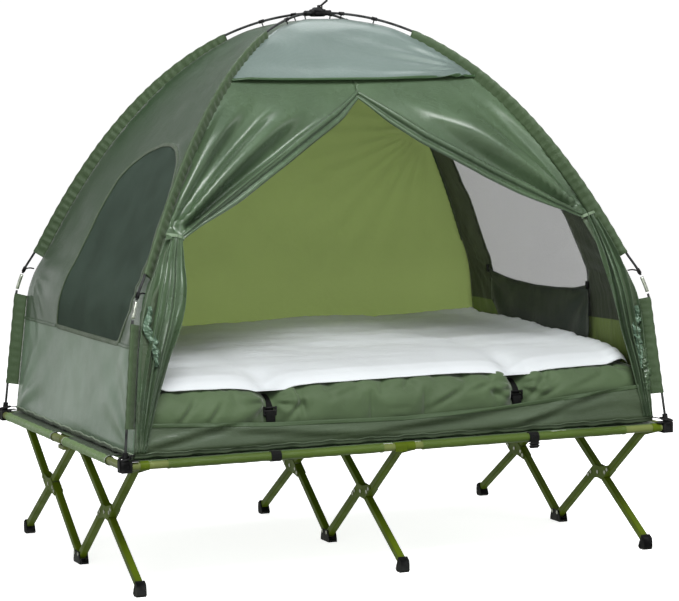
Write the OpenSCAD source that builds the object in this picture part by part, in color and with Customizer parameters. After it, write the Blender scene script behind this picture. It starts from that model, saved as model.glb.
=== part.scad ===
// Two-person folding cot with a dome shelter on it. Millimetres.
// X runs along the cot, the open side of the shelter faces -Y, Z is up and
// the origin is on the floor under the middle of the cot.

/* [Cot] */
// Distance between the axes of the two end bars
cot_length = 1900; // [1890:2:1910]
// Distance between the axes of the front and rear side rails
cot_width = 1430; // [1420:2:1440]
// Height of the side-rail axes
rail_height = 422; // [420:1:424]
// Diameter of the side rails and end bars
rail_d = 25; // [24:0.5:26]

/* [Legs] */
// Width of the square leg tube
leg_w = 24; // [22:0.5:24]
// Distance between neighbouring leg sets
leg_pitch = 896; // [892:1:897]
// Half distance between the two floor pivots of a leg set
pivot_u = 19; // [19:0.5:20]
// Height of the floor pivots
pivot_z = 33; // [33:0.5:34]
// Distance of the crossing pivots from the middle of the cot
cross_u = 330; // [326:1:334]
// Height of the crossing pivots
cross_z = 222; // [220:1:224]

/* [Shelter] */
// Height of the pole axes where they cross
apex_z = 1828; // [1820:1:1834]
// Diameter of the poles
pole_d = 8.5; // [8:0.5:9]
// Distance from a pole to the corner seam of the shelter
seam_gap = 43; // [41:1:45]
// Thickness of the shelter's walls
wall_t = 2.5; // [2.5:0.5:3]

/* [Bedding] */
// Height of the top edge of the mattress border
mattress_top = 640; // [630:5:650]
// Highest point of the sheet
sheet_top = 716; // [705:1:720]

/* [Hidden] */
$fn = 48;

// colours
OLIVE = [0.42, 0.48, 0.24];
STEEL = [0.62, 0.66, 0.50];
BLACK = [0.08, 0.08, 0.08];
BRIGHT = [0.75, 0.76, 0.72];
BED_GREEN = [0.43, 0.56, 0.32];
TENT_GREEN = [0.34, 0.41, 0.33];
INNER_GREEN = [0.48, 0.54, 0.30];
PALE_GREY = [0.62, 0.68, 0.68];
MESH_GREY = [0.20, 0.22, 0.22];
WHITE = [0.93, 0.94, 0.95];

// general clearances
gap = 0.4;
cut = 1;

// ---- side rails, seen as distances u from the middle (u = -Y in front, +Y behind)
rail_r = rail_d / 2;
rail_u = cot_width / 2;
bar_x = cot_length / 2;
rail_end = bar_x - 23;
plug_flange = 2;
hinge_x = -26;
hinge_half = 20;
rail_split = 1;
leg_middle = 9;
leg_xs = [leg_middle - leg_pitch, leg_middle, leg_middle + leg_pitch];

// ---- leg geometry in the plane of a leg set, as [u, z]
half = leg_w / 2;
tube_t = 1.5;
corner_r = 4;
// the outer bar runs past the inner bar on both sides of the crossing
nest = leg_w + 2;
pivot = [pivot_u, pivot_z];
cross = [cross_u, cross_z];
reach = norm(cross - pivot);
cross_angle = atan2(cross_z - pivot_z, cross_u - pivot_u);
outer_angle = cross_angle + asin(nest / reach);
inner_angle = cross_angle;
along = [cos(outer_angle), sin(outer_angle)];
across = [-sin(outer_angle), cos(outer_angle)];
inner_dir = [-cos(inner_angle), sin(inner_angle)];
lower_end = 34;
upper_len = 340;
end_over = 12;
top_pivot = cross - nest * across + upper_len * along;
inner_up = 320;
inner_top = cross + inner_up * inner_dir;
foot_point = cross - reach * inner_dir;
foot_over = 12;
pin_r = 4;
hole_r = pin_r + 0.3;
plate_t = 2;
plate_x = half + gap;

// ---- centre rails
centre_r = 11;
centre_rail_z = inner_top[1] + 33;

// ---- poles, in the vertical plane through two opposite corners, as [s, z]
diag = norm([bar_x, rail_u]);
dx = bar_x / diag;
dy = rail_u / diag;
diag_angle = atan2(dy, dx);
pole_foot = [diag - 4, 442];
pole_bend = [diag - 59, 870];
hub_r = 30;
arc_start = 1055;
arc_steps = 26;
function arch_z(s) = apex_z - pow(s / 1000, 2) / 1.62 * 1000 - 109 * pow(s / 1000, 4);
function arch_point(i) = let(s = arc_start * (1 - i / arc_steps)) [s, arch_z(s)];
function lower_s(z) = pole_foot[0]
    + (z - pole_foot[1]) * (pole_bend[0] - pole_foot[0]) / (pole_bend[1] - pole_foot[1]);
// the whole pole line from the foot to the apex
bend_points = [[diag - 89, 945]];
pole_line = concat([pole_foot, pole_bend], bend_points, [for (i = [0 : arc_steps]) arch_point(i)]);

// ---- the shelter's corner seam: the pole line moved inwards
hem_z = 448;
seam_top_drop = 26;
function seam_s(p) = max(p[0] - seam_gap, 0);
function seam_drop(p) = p[0] < 300 ? seam_top_drop * (1 - p[0] / 300) : 0;
seam_line = concat(
    [[seam_s([lower_s(hem_z), 0]), hem_z]],
    [for (i = [1 : len(pole_line) - 1])
        let(p = pole_line[i]) if (p[0] > seam_gap + 8) [seam_s(p), p[1] - seam_drop(p)]],
    [[0, apex_z - seam_top_drop]]
);

// ---- bedding and floor
fabric_z = 433;
fabric_t = 2;
floor_z = 437.5;
mattress_z = 441;
mattress_x = 872;
mattress_u = 650;

// ================= helpers =================

// draws its children, made for the front side, on the rear side instead
module rear() mirror([0, 1, 0]) children();

module at_leg_sets() for (x = leg_xs) translate([x, 0, 0]) children();

// a rounded square made of exact arcs
module rounded_square(w, r) {
    square([w, w - 2 * r], center = true);
    square([w - 2 * r, w], center = true);
    for (a = [-1, 1], b = [-1, 1]) translate([a * (w / 2 - r), b * (w / 2 - r)]) circle(r);
}

// places children drawn along +Y on the line from p to q of the front leg plane
module on_line(p, q) {
    translate([0, -p[0], p[1]])
        rotate([atan2(q[1] - p[1], p[0] - q[0]), 0, 0]) children();
}

// square tube from p to q, with round holes across it at the points in holes
module leg_tube(p, q, holes) {
    difference() {
        on_line(p, q) rotate([-90, 0, 0]) linear_extrude(norm(q - p)) difference() {
            rounded_square(leg_w, corner_r);
            rounded_square(leg_w - 2 * tube_t, corner_r - tube_t);
        }
        for (h = holes) cross_pin(h, hole_r, leg_w + 2 * cut);
    }
}

// cylinder along X through the point p of the front leg plane
module cross_pin(p, r, length) {
    translate([0, -p[0], p[1]]) rotate([0, 90, 0]) cylinder(r = r, h = length, center = true);
}

// plate of thickness t, its outline given in the front leg plane, starting at x
module leg_plate(x, t) {
    translate([x, 0, 0]) rotate([90, 0, 90]) linear_extrude(t) mirror([1, 0]) children();
}

function in_plane(t, n) = cross + t * along + n * across;

// round tube along X
module tube_x(x0, x1, u, z, r, inner) {
    translate([x0, -u, z]) rotate([0, 90, 0]) difference() {
        cylinder(r = r, h = x1 - x0);
        translate([0, 0, -cut]) cylinder(r = inner, h = x1 - x0 + 2 * cut);
    }
}

// round tube along Y
module tube_y(x, y0, y1, z, r, inner) {
    translate([x, y0, z]) rotate([-90, 0, 0]) difference() {
        cylinder(r = r, h = y1 - y0);
        translate([0, 0, -cut]) cylinder(r = inner, h = y1 - y0 + 2 * cut);
    }
}

// ================= legs =================

outer_lower_start = in_plane(-lower_end, nest);
outer_upper_start = in_plane(lower_end, -nest);
rivet_ts = [46, 66];

module outer_lower() {
    holes = concat([pivot], [for (t = rivet_ts) in_plane(-t, nest)]);
    color(OLIVE) at_leg_sets() leg_tube(pivot - end_over * along, outer_lower_start, holes);
}

module outer_upper() {
    holes = concat([top_pivot], [for (t = rivet_ts) in_plane(t, -nest)]);
    color(OLIVE) at_leg_sets() leg_tube(outer_upper_start, top_pivot + end_over * along, holes);
}

// the two flat links that carry the upper part of an outer bar on its lower part
link_far = 78;
link_near = 10;
link_edge = 10;
module link_outline() {
    points = [
        in_plane(-link_far, nest - link_edge), in_plane(-link_far, nest + link_edge),
        in_plane(-link_near, nest + link_edge), in_plane(link_edge * 2, link_edge),
        in_plane(link_far, link_edge - nest), in_plane(link_far, -nest - link_edge),
        in_plane(link_near, -nest - link_edge), in_plane(-link_edge * 2, -link_edge)
    ];
    difference() {
        polygon(points);
        translate(cross) circle(hole_r);
        for (t = rivet_ts) {
            translate(in_plane(-t, nest)) circle(hole_r);
            translate(in_plane(t, -nest)) circle(hole_r);
        }
    }
}

module crossing_plates() {
    color(OLIVE) at_leg_sets() {
        leg_plate(plate_x, plate_t) link_outline();
        leg_plate(-plate_x - plate_t, plate_t) link_outline();
    }
}

// a rivet along X: shank and two domed-over heads
head_r = 6.5;
head_t = 2;
module rivet(p, grip) {
    cross_pin(p, pin_r, grip);
    for (side = [-1, 1]) translate([side * (grip / 2 + head_t / 2), 0, 0]) cross_pin(p, head_r, head_t);
}

plate_grip = 2 * (plate_x + plate_t + gap / 2);
module crossing_rivets() {
    color(BRIGHT) at_leg_sets() {
        rivet(cross, plate_grip);
        for (t = rivet_ts) {
            rivet(in_plane(-t, nest), plate_grip);
            rivet(in_plane(t, -nest), plate_grip);
        }
    }
}

module inner_legs() {
    color(OLIVE) at_leg_sets()
        leg_tube(foot_point - foot_over * inner_dir, inner_top + end_over * inner_dir, [cross, inner_top]);
}

// rubber boot with a flat tread on the floor
boot_half = 16;
boot_back = 6;
boot_front = 14;
function on_inner(t, n) = foot_point - t * inner_dir + n * [sin(inner_angle), cos(inner_angle)];
module boot_outline() {
    toe = foot_point[0];
    polygon([
        on_inner(-boot_back, -boot_half), on_inner(-boot_back, boot_half),
        on_inner(boot_front, boot_half), [toe + 23, 26], [toe + 23, 8], [toe + 17, 0],
        [toe - 10, 0], [toe - 20, 7]
    ]);
}
module boots() {
    color(BLACK) at_leg_sets() difference() {
        leg_plate(-boot_half, 2 * boot_half) boot_outline();
        on_line(foot_point - (foot_over + 0.3) * inner_dir, inner_top) rotate([-90, 0, 0])
            linear_extrude(boot_back + foot_over + 10) square(leg_w + 0.4, center = true);
    }
}

// moulded shoe that holds the two floor pivots of a leg set
shoe_half = 38;
shoe_base = 7;
shoe_side = 3;
shoe_top = pivot_z + 8;
module shoe_outline() {
    difference() {
        polygon([
            [-shoe_half, 0], [shoe_half, 0], [shoe_half, 10],
            [pivot_u + 9, shoe_top], [-pivot_u - 9, shoe_top], [-shoe_half, 10]
        ]);
        for (side = [-1, 1]) translate([side * pivot_u, pivot_z]) circle(hole_r);
    }
}
module centre_feet() {
    color(BLACK) at_leg_sets() {
        for (x = [plate_x, -plate_x - shoe_side]) leg_plate(x, shoe_side) shoe_outline();
        translate([-plate_x - cut / 2, -shoe_half, 0]) cube([2 * plate_x + cut, 2 * shoe_half, shoe_base]);
    }
}

shoe_grip = 2 * (plate_x + shoe_side + gap / 2);
module centre_foot_pins() {
    color(BRIGHT) at_leg_sets() {
        rivet(pivot, shoe_grip);
        rear() rivet(pivot, shoe_grip);
    }
}

// ================= side rails =================

// arms that hang a leg top inboard of the side rail
arm_half = 11;
saddle_wall = 2;
module arm_outline() {
    far = [rail_u, rail_height];
    dir = (far - top_pivot) / norm(far - top_pivot);
    side = [-dir[1], dir[0]] * arm_half;
    difference() {
        union() {
            polygon([top_pivot - side, far - side * 1.25, far + side * 0.2, top_pivot + side]);
            translate(top_pivot) circle(arm_half);
            translate(far) circle(rail_r + gap + saddle_wall);
        }
        translate(top_pivot) circle(hole_r);
        translate(far) circle(rail_r + gap / 2);
    }
}
module leg_brackets() {
    color(OLIVE) at_leg_sets() {
        for (x = [plate_x, -plate_x - plate_t]) leg_plate(x, plate_t) arm_outline();
        tube_x(-plate_x - cut / 2, plate_x + cut / 2, rail_u, rail_height,
            rail_r + gap + saddle_wall, rail_r + gap / 2);
    }
    color(BRIGHT) at_leg_sets() rivet(top_pivot, plate_grip);
}

module rail_half(x0, x1) color(STEEL) tube_x(x0, x1, rail_u, rail_height, rail_r, rail_r - 1.5);

// channel that joins the two halves of a side rail, with a cross rivet in each half
hinge_pin_x = 11;
module rail_hinge() {
    wall = 2;
    inner = rail_r + gap / 2;
    outer = inner + wall;
    color(OLIVE) translate([hinge_x - hinge_half, -rail_u, rail_height]) rotate([90, 0, 90])
        linear_extrude(2 * hinge_half) difference() {
            union() {
                circle(outer);
                translate([-outer, -outer]) square([2 * outer, outer]);
            }
            circle(inner);
        }
    color(BRIGHT) for (x = [-hinge_pin_x, hinge_pin_x])
        translate([hinge_x + x, -rail_u - outer - head_t, rail_height - outer + 5])
            rotate([-90, 0, 0]) cylinder(r = 4, h = head_t);
}

module rail_plugs() {
    plug_r = rail_r - 1.5 - 0.2;
    color(BLACK) for (side = [0, 1]) mirror([side, 0, 0]) translate([rail_end, -rail_u, rail_height])
        rotate([0, 90, 0]) {
            translate([0, 0, -20]) cylinder(r = plug_r, h = 20 + plug_flange / 2);
            cylinder(r = rail_r, h = plug_flange);
        }
}

// fabric hems of the bed that the rails run through: [start, end] along X
hem_r = rail_r + 2;
hem_spans = [[-811, -86], [51, 790]];
module rail_hems() {
    color(BED_GREEN) for (span = hem_spans)
        tube_x(span[0], span[1], rail_u, rail_height, hem_r, rail_r + 0.2);
}

// webbing loops round the front rail, each with a slide buckle under it
loop_xs = [-454, 449];
loop_w = 34;
module rail_straps() {
    color(BLACK) for (x = loop_xs) {
        tube_x(x - loop_w / 2, x + loop_w / 2, rail_u, rail_height, hem_r + 1.8, hem_r + 0.3);
        translate([x - loop_w / 2, -rail_u - 2, rail_height - hem_r - 21])
            cube([loop_w, 4, 20]);
    }
}

// ================= centre rails =================

module centre_rail() {
    color(STEEL) tube_x(-rail_end, rail_end, inner_top[0], centre_rail_z, centre_r, centre_r - 1.5);
}
module centre_outline() {
    difference() {
        union() {
            translate([inner_top[0] - 10, inner_top[1]]) square([20, centre_rail_z - inner_top[1]]);
            translate(inner_top) circle(10);
            translate([inner_top[0], centre_rail_z]) circle(centre_r + 0.4);
        }
        translate(inner_top) circle(hole_r);
        translate([inner_top[0], centre_rail_z]) circle(centre_r + gap / 4);
    }
}
module centre_brackets() {
    color(OLIVE) at_leg_sets()
        for (x = [plate_x, -plate_x - plate_t]) leg_plate(x, plate_t) centre_outline();
    color(BRIGHT) at_leg_sets() rivet(inner_top, plate_grip);
}

fabric_x = bar_x - 21.5;
module bed_fabric() {
    edge = rail_u - hem_r - 1.5;
    color(BED_GREEN) translate([-fabric_x, -edge, fabric_z]) cube([2 * fabric_x, 2 * edge, fabric_t]);
}

// ================= end bars and corner caps =================

cap_in = rail_end + plug_flange + 0.5;
cap_out = bar_x + 15;
cap_u0 = rail_u - 25;
cap_u1 = rail_u + 16;
cap_z0 = rail_height - 18;
cap_z1 = rail_height + 18;
bar_z = rail_height;
lip_t = 2.2;
socket_tall = 24;
socket_deep = 6;
cap_corner = 6;
lean = atan2(pole_foot[0] - pole_bend[0], pole_bend[1] - pole_foot[1]);
module on_pole_foot() {
    rotate([0, 0, -diag_angle]) translate([pole_foot[0], 0, pole_foot[1]]) rotate([0, -lean, 0]) children();
}
module corner_cap() {
    difference() {
        union() {
            translate([cap_in, -cap_u1, cap_z0]) cube([cap_out - cap_in, cap_u1 - cap_u0, cap_z1 - cap_z0]);
            // lips over the end of the side rail, open below and inside
            translate([cap_in - 22, -cap_u1, cap_z1 - lip_t]) cube([24, cap_u1 - rail_u + 8, lip_t]);
            on_pole_foot() translate([0, 0, -socket_deep]) cylinder(r = 9, h = socket_deep + socket_tall);
        }
        // recess in the front face
        translate([cap_in + 8, -cap_u1 - cut, cap_z0 + 8]) cube([cap_out - cap_in - 16, 3 + cut, 20]);
        // socket of the end bar
        translate([bar_x, -cap_u0 - 22, bar_z]) rotate([-90, 0, 0]) cylinder(r = rail_r + 0.3, h = 40);
        // socket of the pole
        on_pole_foot() cylinder(r = pole_d / 2 + 0.3, h = 40);
        // bevelled outer edge
        translate([cap_out, -cap_u1, cap_z0 - cut]) rotate([0, 0, 45])
            cube([2 * cap_corner, 2 * cap_corner, cap_z1 - cap_z0 + 2 * cut], center = false);
    }
}
module corner_caps() {
    color(BLACK) for (a = [0, 1], b = [0, 1]) mirror([a, 0, 0]) mirror([0, b, 0]) corner_cap();
}

bar_in_cap = cap_u0 + 20;
module end_bar(side) {
    color(STEEL) {
        tube_y(side * bar_x, -bar_in_cap, -0.5, bar_z, rail_r, rail_r - 1.5);
        tube_y(side * bar_x, 0.5, bar_in_cap, bar_z, rail_r, rail_r - 1.5);
    }
}
// sleeve that joins the two halves of an end bar, and the moulded clip under it
joint_half = 40;
module bar_joint(side) {
    color(STEEL) tube_y(side * bar_x, -joint_half, joint_half, bar_z, rail_r + 2, rail_r + 0.2);
    color(BLACK) translate([side * bar_x - 9, -joint_half - 30, bar_z - rail_r - 16])
        cube([18, 60, 13]);
}
sleeve_spans = [[-560, -75], [60, 640]];
module bar_sleeves(side) {
    color(BED_GREEN) for (span = sleeve_spans)
        tube_y(side * bar_x, span[0], span[1], bar_z, rail_r + 2.5, rail_r + 0.2);
}

// ================= bedding =================

border_r = 38;
skin_t = 3;
// airtight hollow block along X with the section drawn by its children
module hollow_block(half_length) {
    rotate([90, 0, 90]) difference() {
        translate([0, 0, -half_length]) linear_extrude(2 * half_length) children();
        translate([0, 0, -half_length + skin_t]) linear_extrude(2 * (half_length - skin_t))
            offset(delta = -skin_t) children();
    }
}
module mattress() {
    color(BED_GREEN) hollow_block(mattress_x) polygon([
        [-mattress_u + border_r, mattress_z], [mattress_u - border_r, mattress_z],
        [mattress_u, mattress_z + border_r], [mattress_u, mattress_top - border_r],
        [mattress_u - border_r, mattress_top], [-mattress_u + border_r, mattress_top],
        [-mattress_u, mattress_top - border_r], [-mattress_u, mattress_z + border_r]
    ]);
}

strap_xs = [-435, 435];
strap_w = 38;
module mattress_straps() {
    color(BLACK) for (x = strap_xs) translate([x - strap_w / 2, 0, 0]) {
        translate([0, -mattress_u - 3, mattress_z + border_r])
            cube([strap_w, 2.5, mattress_top - mattress_z - 2 * border_r]);
        translate([-3, -mattress_u - 8, mattress_z + 70]) cube([strap_w + 6, 4.5, 46]);
    }
}

sheet_inset = 26;
sheet_base = mattress_top + 0.5;
module bed_sheet() {
    u = mattress_u - sheet_inset;
    color(WHITE) hollow_block(mattress_x - sheet_inset) polygon([
        [-u, sheet_base], [u, sheet_base], [u, sheet_top - 14], [u - 60, sheet_top],
        [-u + 380, sheet_top - 20], [-u + 60, sheet_base + 30], [-u, sheet_base + 10]
    ]);
}

// ================= shelter =================

module tent_floor() {
    s = seam_line[0][0] - 8;
    color(TENT_GREEN) translate([-s * dx, -s * dy, floor_z]) cube([2 * s * dx, 2 * s * dy, 2]);
}

// profile of a wall seen along the wall: k scales the seam distance to the wall's own side
function outer_profile(k) = [for (p = seam_line) [p[0] * k, p[1]]];
function inner_profile(k) = [for (i = [0 : len(seam_line) - 1])
    let(
        a = seam_line[max(i - 1, 0)],
        b = seam_line[min(i + 1, len(seam_line) - 1)],
        d = [(b[0] - a[0]) * k, b[1] - a[1]],
        n = [-d[1], d[0]] / norm(d)
    )
    [max(seam_line[i][0] * k + n[0] * wall_t, 0), seam_line[i][1] + n[1] * wall_t]];
function reversed(v) = [for (i = [len(v) - 1 : -1 : 0]) v[i]];

// shell of one wall on the +X side: k is its own share of the seam distance
module wall_shell(k, half_span) {
    rotate([90, 0, 0]) linear_extrude(2 * half_span, center = true)
        polygon(concat(outer_profile(k), reversed(inner_profile(k))));
}
// wedge between the two corner seams of a wall on the +X side
module seam_wedge(k, other) {
    far = 1400;
    trim = 1.6;
    linear_extrude(2200) polygon([[trim, 0], [far * k + trim, -far * other], [far * k + trim, far * other]]);
}
module side_gore() {
    intersection() {
        wall_shell(dx, rail_u);
        seam_wedge(dx, dy);
    }
}
module end_gore() {
    rotate([0, 0, -90]) intersection() {
        wall_shell(dy, bar_x);
        seam_wedge(dy, dx);
    }
}

// window outlines as [distance along the wall, height]; the two windows are not alike
window_base = 772;
left_window = [
    [-405, window_base], [-505, 900], [-500, 1010], [-468, 1150], [-409, 1269], [-330, 1345],
    [-245, 1385], [-150, 1402], [-60, 1400], [60, 1378], [160, 1335], [222, 1275], [245, 1190],
    [258, 1060], [280, 900], [306, window_base]
];
right_window = [
    [-318, window_base], [-345, 870], [-378, 960], [-385, 1065], [-370, 1165], [-335, 1250], [-265, 1325],
    [-150, 1385], [0, 1410], [150, 1412], [235, 1398], [290, 1360], [325, 1250], [360, 1100],
    [400, 1000], [435, 890], [462, window_base]
];
module window_prism(outline, grow) {
    rotate([90, 0, 90]) linear_extrude(1200) scale_about([0, 1085], grow) polygon(outline);
}
module scale_about(c, k) translate(c) scale([k, k]) translate(-c) children();

window_lap = 0.997;
module left_wall() {
    color(TENT_GREEN) mirror([1, 0, 0]) difference() {
        side_gore();
        window_prism(left_window, 1);
    }
}
module left_window_mesh() {
    color(MESH_GREY) mirror([1, 0, 0]) intersection() {
        side_gore();
        window_prism(left_window, window_lap);
    }
}
module right_wall() {
    color(TENT_GREEN) difference() {
        side_gore();
        window_prism(right_window, 1);
    }
}
module right_window_mesh() {
    color(PALE_GREY) intersection() {
        side_gore();
        window_prism(right_window, window_lap);
    }
}
// window flap rolled down against the inside of the right wall
flap_x = 868;
module window_flap() {
    color(MESH_GREY) translate([flap_x - 16, -360, 665]) cube([14, 780, 190]);
}
module rear_wall() color(INNER_GREEN) mirror([0, 1, 0]) end_gore();

header_z = 1600;
sill_z = 530;
door_left = [
    [-60, header_z], [-110, 1500], [-319, 1357], [-569, 1200], [-692, 1117], [-730, 919],
    [-836, 609], [-862, sill_z]
];
door_right = [
    [60, header_z], [209, 1422], [416, 1295], [620, 1190], [705, 1128], [716, 1034],
    [758, 852], [826, 679], [862, sill_z]
];
module front_slice(points) {
    intersection() {
        end_gore();
        rotate([90, 0, 0]) linear_extrude(1000) polygon(points);
    }
}
module front_roof_panel() {
    color(PALE_GREY) front_slice([[-bar_x, header_z], [bar_x, header_z], [bar_x, apex_z], [-bar_x, apex_z]]);
}
curtain_gap = 1;
module left_curtain() {
    color(TENT_GREEN) front_slice(concat(
        [[-bar_x, sill_z + curtain_gap], [-bar_x, header_z - curtain_gap]],
        [for (p = door_left) [p[0], min(max(p[1], sill_z + curtain_gap), header_z - curtain_gap)]]));
}
module right_curtain() {
    color(TENT_GREEN) front_slice(concat(
        [[bar_x, sill_z + curtain_gap], [bar_x, header_z - curtain_gap]],
        [for (p = door_right) [p[0], min(max(p[1], sill_z + curtain_gap), header_z - curtain_gap)]]));
}
module front_sill() {
    color(TENT_GREEN) front_slice([[-bar_x, 0], [bar_x, 0], [bar_x, sill_z], [-bar_x, sill_z]]);
}

// ================= poles =================

// draws its children, made in the plane y = 0 on the +X side, at the four corners
module at_corners() {
    for (a = [0, 1], b = [0, 1]) mirror([a, 0, 0]) mirror([0, b, 0])
        rotate([0, 0, -diag_angle]) children();
}

// fabric fins that hold the poles to the shelter, as spans of height
sleeve_t = 2;
function between(a, b, z) = a + (b - a) * z;
function line_s(z) = z <= pole_bend[1] ? lower_s(z) : lookup(z, [for (p = pole_line) [p[1], p[0]]]);
pole_clear = pole_d / 2 + 0.8;
fin_low = [545, 862];
fin_high = [1006, 1766];
fin_steps = 16;
function fin_heights(span) = [for (i = [0 : fin_steps]) between(span[0], span[1], i / fin_steps)];
module fin(span) {
    zs = fin_heights(span);
    outer = [for (z = zs) [line_s(z + pole_clear * (z > 1000 ? 0.9 : 0)) - pole_clear, z]];
    inner = [for (z = reversed(zs)) [line_s(z) - seam_gap + 3.5, z - seam_drop([line_s(z), z])]];
    rotate([90, 0, 0]) linear_extrude(sleeve_t, center = true) polygon(concat(outer, inner));
}
module pole_sleeves() {
    color(TENT_GREEN) at_corners() {
        fin(fin_low);
        fin(fin_high);
    }
}

// pole tube swept along a line of [s, z] points
sides = 10;
function heading(line, i) =
    let(d = line[min(i + 1, len(line) - 1)] - line[max(i - 1, 0)]) d / norm(d);
function ring(line, i, r) = let(d = heading(line, i), n = [-d[1], d[0]])
    [for (k = [0 : sides - 1]) let(a = 360 * k / sides)
        [line[i][0] + n[0] * r * cos(a), r * sin(a), line[i][1] + n[1] * r * cos(a)]];
module swept(line, r) {
    count = len(line);
    points = [for (i = [0 : count - 1]) each ring(line, i, r)];
    walls = [for (i = [0 : count - 2], k = [0 : sides - 1])
        [i * sides + k, i * sides + (k + 1) % sides, (i + 1) * sides + (k + 1) % sides, (i + 1) * sides + k]];
    start = [for (k = [sides - 1 : -1 : 0]) k];
    finish = [for (k = [0 : sides - 1]) (count - 1) * sides + k];
    polyhedron(points, concat(walls, [start, finish]), convexity = 4);
}

// the arched pole, from the shoulder ferrule to the hub
arch_end = 46;
arch_line = concat([[diag - 83, 931], [diag - 89, 946]],
    [for (i = [0 : arc_steps]) let(p = arch_point(i)) if (p[0] > arch_end) p], [[arch_end, arch_z(arch_end)]]);
module upper_poles() color(BLACK) at_corners() swept(arch_line, pole_d / 2);

low_line = [pole_foot + [0, 1], pole_bend];
module lower_poles() color(BLACK) at_corners() swept(low_line, pole_d / 2);

// metal ferrules at the shoulders and beside the hub
ferrule_line = [[diag - 60.2, 873], [diag - 71, 900], [diag - 82.8, 929.5]];
module pole_ferrules() {
    color(PALE_GREY) at_corners() {
        swept(ferrule_line, pole_d / 2 + 1);
        translate([hub_r + 2, 0, arch_z(30) - 0.5]) rotate([0, 90, 0]) cylinder(r = pole_d / 2 + 1, h = 11.5);
    }
}

// hooks from the poles to the seams, and webbing from the hem corners to the caps
hook_z = 958;
hook_len = seam_gap - 4 - pole_clear - 4;
module pole_fittings() {
    color(BLACK) at_corners() {
        translate([line_s(hook_z) - seam_gap + 4, -3, hook_z]) cube([hook_len, 6, 5]);
        translate([line_s(hook_z) - seam_gap / 2 - 2, -2, hook_z - 10]) cube([5, 4, 24]);
        translate([diag - 46, -7, 452]) cube([29, 14, 3]);
    }
}

hub_z = arch_z(30);
module hub() {
    color(BLACK) {
        translate([0, 0, hub_z - 12]) cylinder(r = hub_r, h = 24);
        translate([0, 0, hub_z + 11]) cylinder(r = 16, h = 5);
        for (y = [-9, 6]) translate([2, y, hub_z + 15]) difference() {
            cube([14, 3, 13]);
            translate([7, -cut, 7]) rotate([-90, 0, 0]) cylinder(r = 2.3, h = 6);
        }
    }
}
// release lever on the hub, turning about a cross pin
lever_pin = [9, 0, hub_z + 22];
lever_rest = 38;
lever_len = 34;
module hub_lever() {
    color(BLACK) translate(lever_pin) rotate([90, 0, 0]) {
        cylinder(r = 2, h = 18, center = true);
        linear_extrude(10, center = true) rotate(lever_rest) {
            circle(5);
            translate([0, -3]) square([lever_len, 6]);
            translate([lever_len, 0]) circle(4.5);
        }
    }
}

centre_feet();
centre_foot_pins();
outer_lower();  // front_outer_lower_legs
outer_upper();  // front_outer_upper_legs
crossing_plates();  // front_crossing_plates
crossing_rivets();  // front_crossing_rivets
inner_legs();  // front_inner_legs
boots();  // front_feet
rear() outer_lower();  // rear_outer_lower_legs
rear() outer_upper();  // rear_outer_upper_legs
rear() crossing_plates();  // rear_crossing_plates
rear() crossing_rivets();  // rear_crossing_rivets
rear() inner_legs();  // rear_inner_legs
rear() boots();  // rear_feet
rail_half(-rail_end, hinge_x - rail_split);  // front_rail_left
rail_half(hinge_x + rail_split, rail_end);  // front_rail_right
rail_hinge();  // front_rail_hinge
leg_brackets();  // front_leg_brackets
rail_plugs();  // front_rail_plugs
rail_hems();  // front_rail_hems
rail_straps();  // front_rail_straps
rear() rail_half(-rail_end, hinge_x - rail_split);  // rear_rail_left
rear() rail_half(hinge_x + rail_split, rail_end);  // rear_rail_right
rear() rail_hinge();  // rear_rail_hinge
rear() leg_brackets();  // rear_leg_brackets
rear() rail_plugs();  // rear_rail_plugs
rear() rail_hems();  // rear_rail_hems
centre_rail();  // front_centre_rail
centre_brackets();  // front_centre_brackets
rear() centre_rail();  // rear_centre_rail
rear() centre_brackets();  // rear_centre_brackets
bed_fabric();
corner_caps();
end_bar(-1);  // left_end_bar
bar_joint(-1);  // left_bar_joint
bar_sleeves(-1);  // left_bar_sleeves
end_bar(1);  // right_end_bar
bar_joint(1);  // right_bar_joint
bar_sleeves(1);  // right_bar_sleeves
mattress();
mattress_straps();
bed_sheet();
tent_floor();
left_wall();
left_window_mesh();
right_wall();
right_window_mesh();
window_flap();
rear_wall();
front_roof_panel();
left_curtain();
right_curtain();
front_sill();
pole_sleeves();
upper_poles();
lower_poles();
pole_ferrules();
pole_fittings();
hub();
hub_lever();
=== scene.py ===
"""Looks of the folding tent cot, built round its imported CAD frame. Metres, +X along the cot, open side to -Y."""

import math

import bpy
import numpy as np
from mathutils import Matrix, Vector
from mathutils.geometry import delaunay_2d_cdt


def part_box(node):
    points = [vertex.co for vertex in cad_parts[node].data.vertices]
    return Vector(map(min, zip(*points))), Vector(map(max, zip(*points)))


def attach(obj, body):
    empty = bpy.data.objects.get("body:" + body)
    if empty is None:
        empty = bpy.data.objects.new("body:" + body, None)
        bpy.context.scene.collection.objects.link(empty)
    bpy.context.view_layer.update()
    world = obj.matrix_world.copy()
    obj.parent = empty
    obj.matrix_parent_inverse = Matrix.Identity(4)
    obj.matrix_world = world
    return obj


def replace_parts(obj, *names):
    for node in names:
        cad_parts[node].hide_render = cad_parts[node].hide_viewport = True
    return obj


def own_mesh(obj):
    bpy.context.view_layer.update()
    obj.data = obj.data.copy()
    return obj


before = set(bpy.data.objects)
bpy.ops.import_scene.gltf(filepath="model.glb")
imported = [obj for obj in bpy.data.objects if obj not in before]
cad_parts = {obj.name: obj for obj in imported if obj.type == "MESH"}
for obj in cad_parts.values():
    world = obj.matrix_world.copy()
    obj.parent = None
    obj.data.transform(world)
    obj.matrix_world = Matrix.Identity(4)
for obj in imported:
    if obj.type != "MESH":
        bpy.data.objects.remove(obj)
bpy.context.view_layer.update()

# ---------------------------------------------------------------- camera
CAMERA_AT = (-3.30526, -8.28561, 1.59826)
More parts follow.
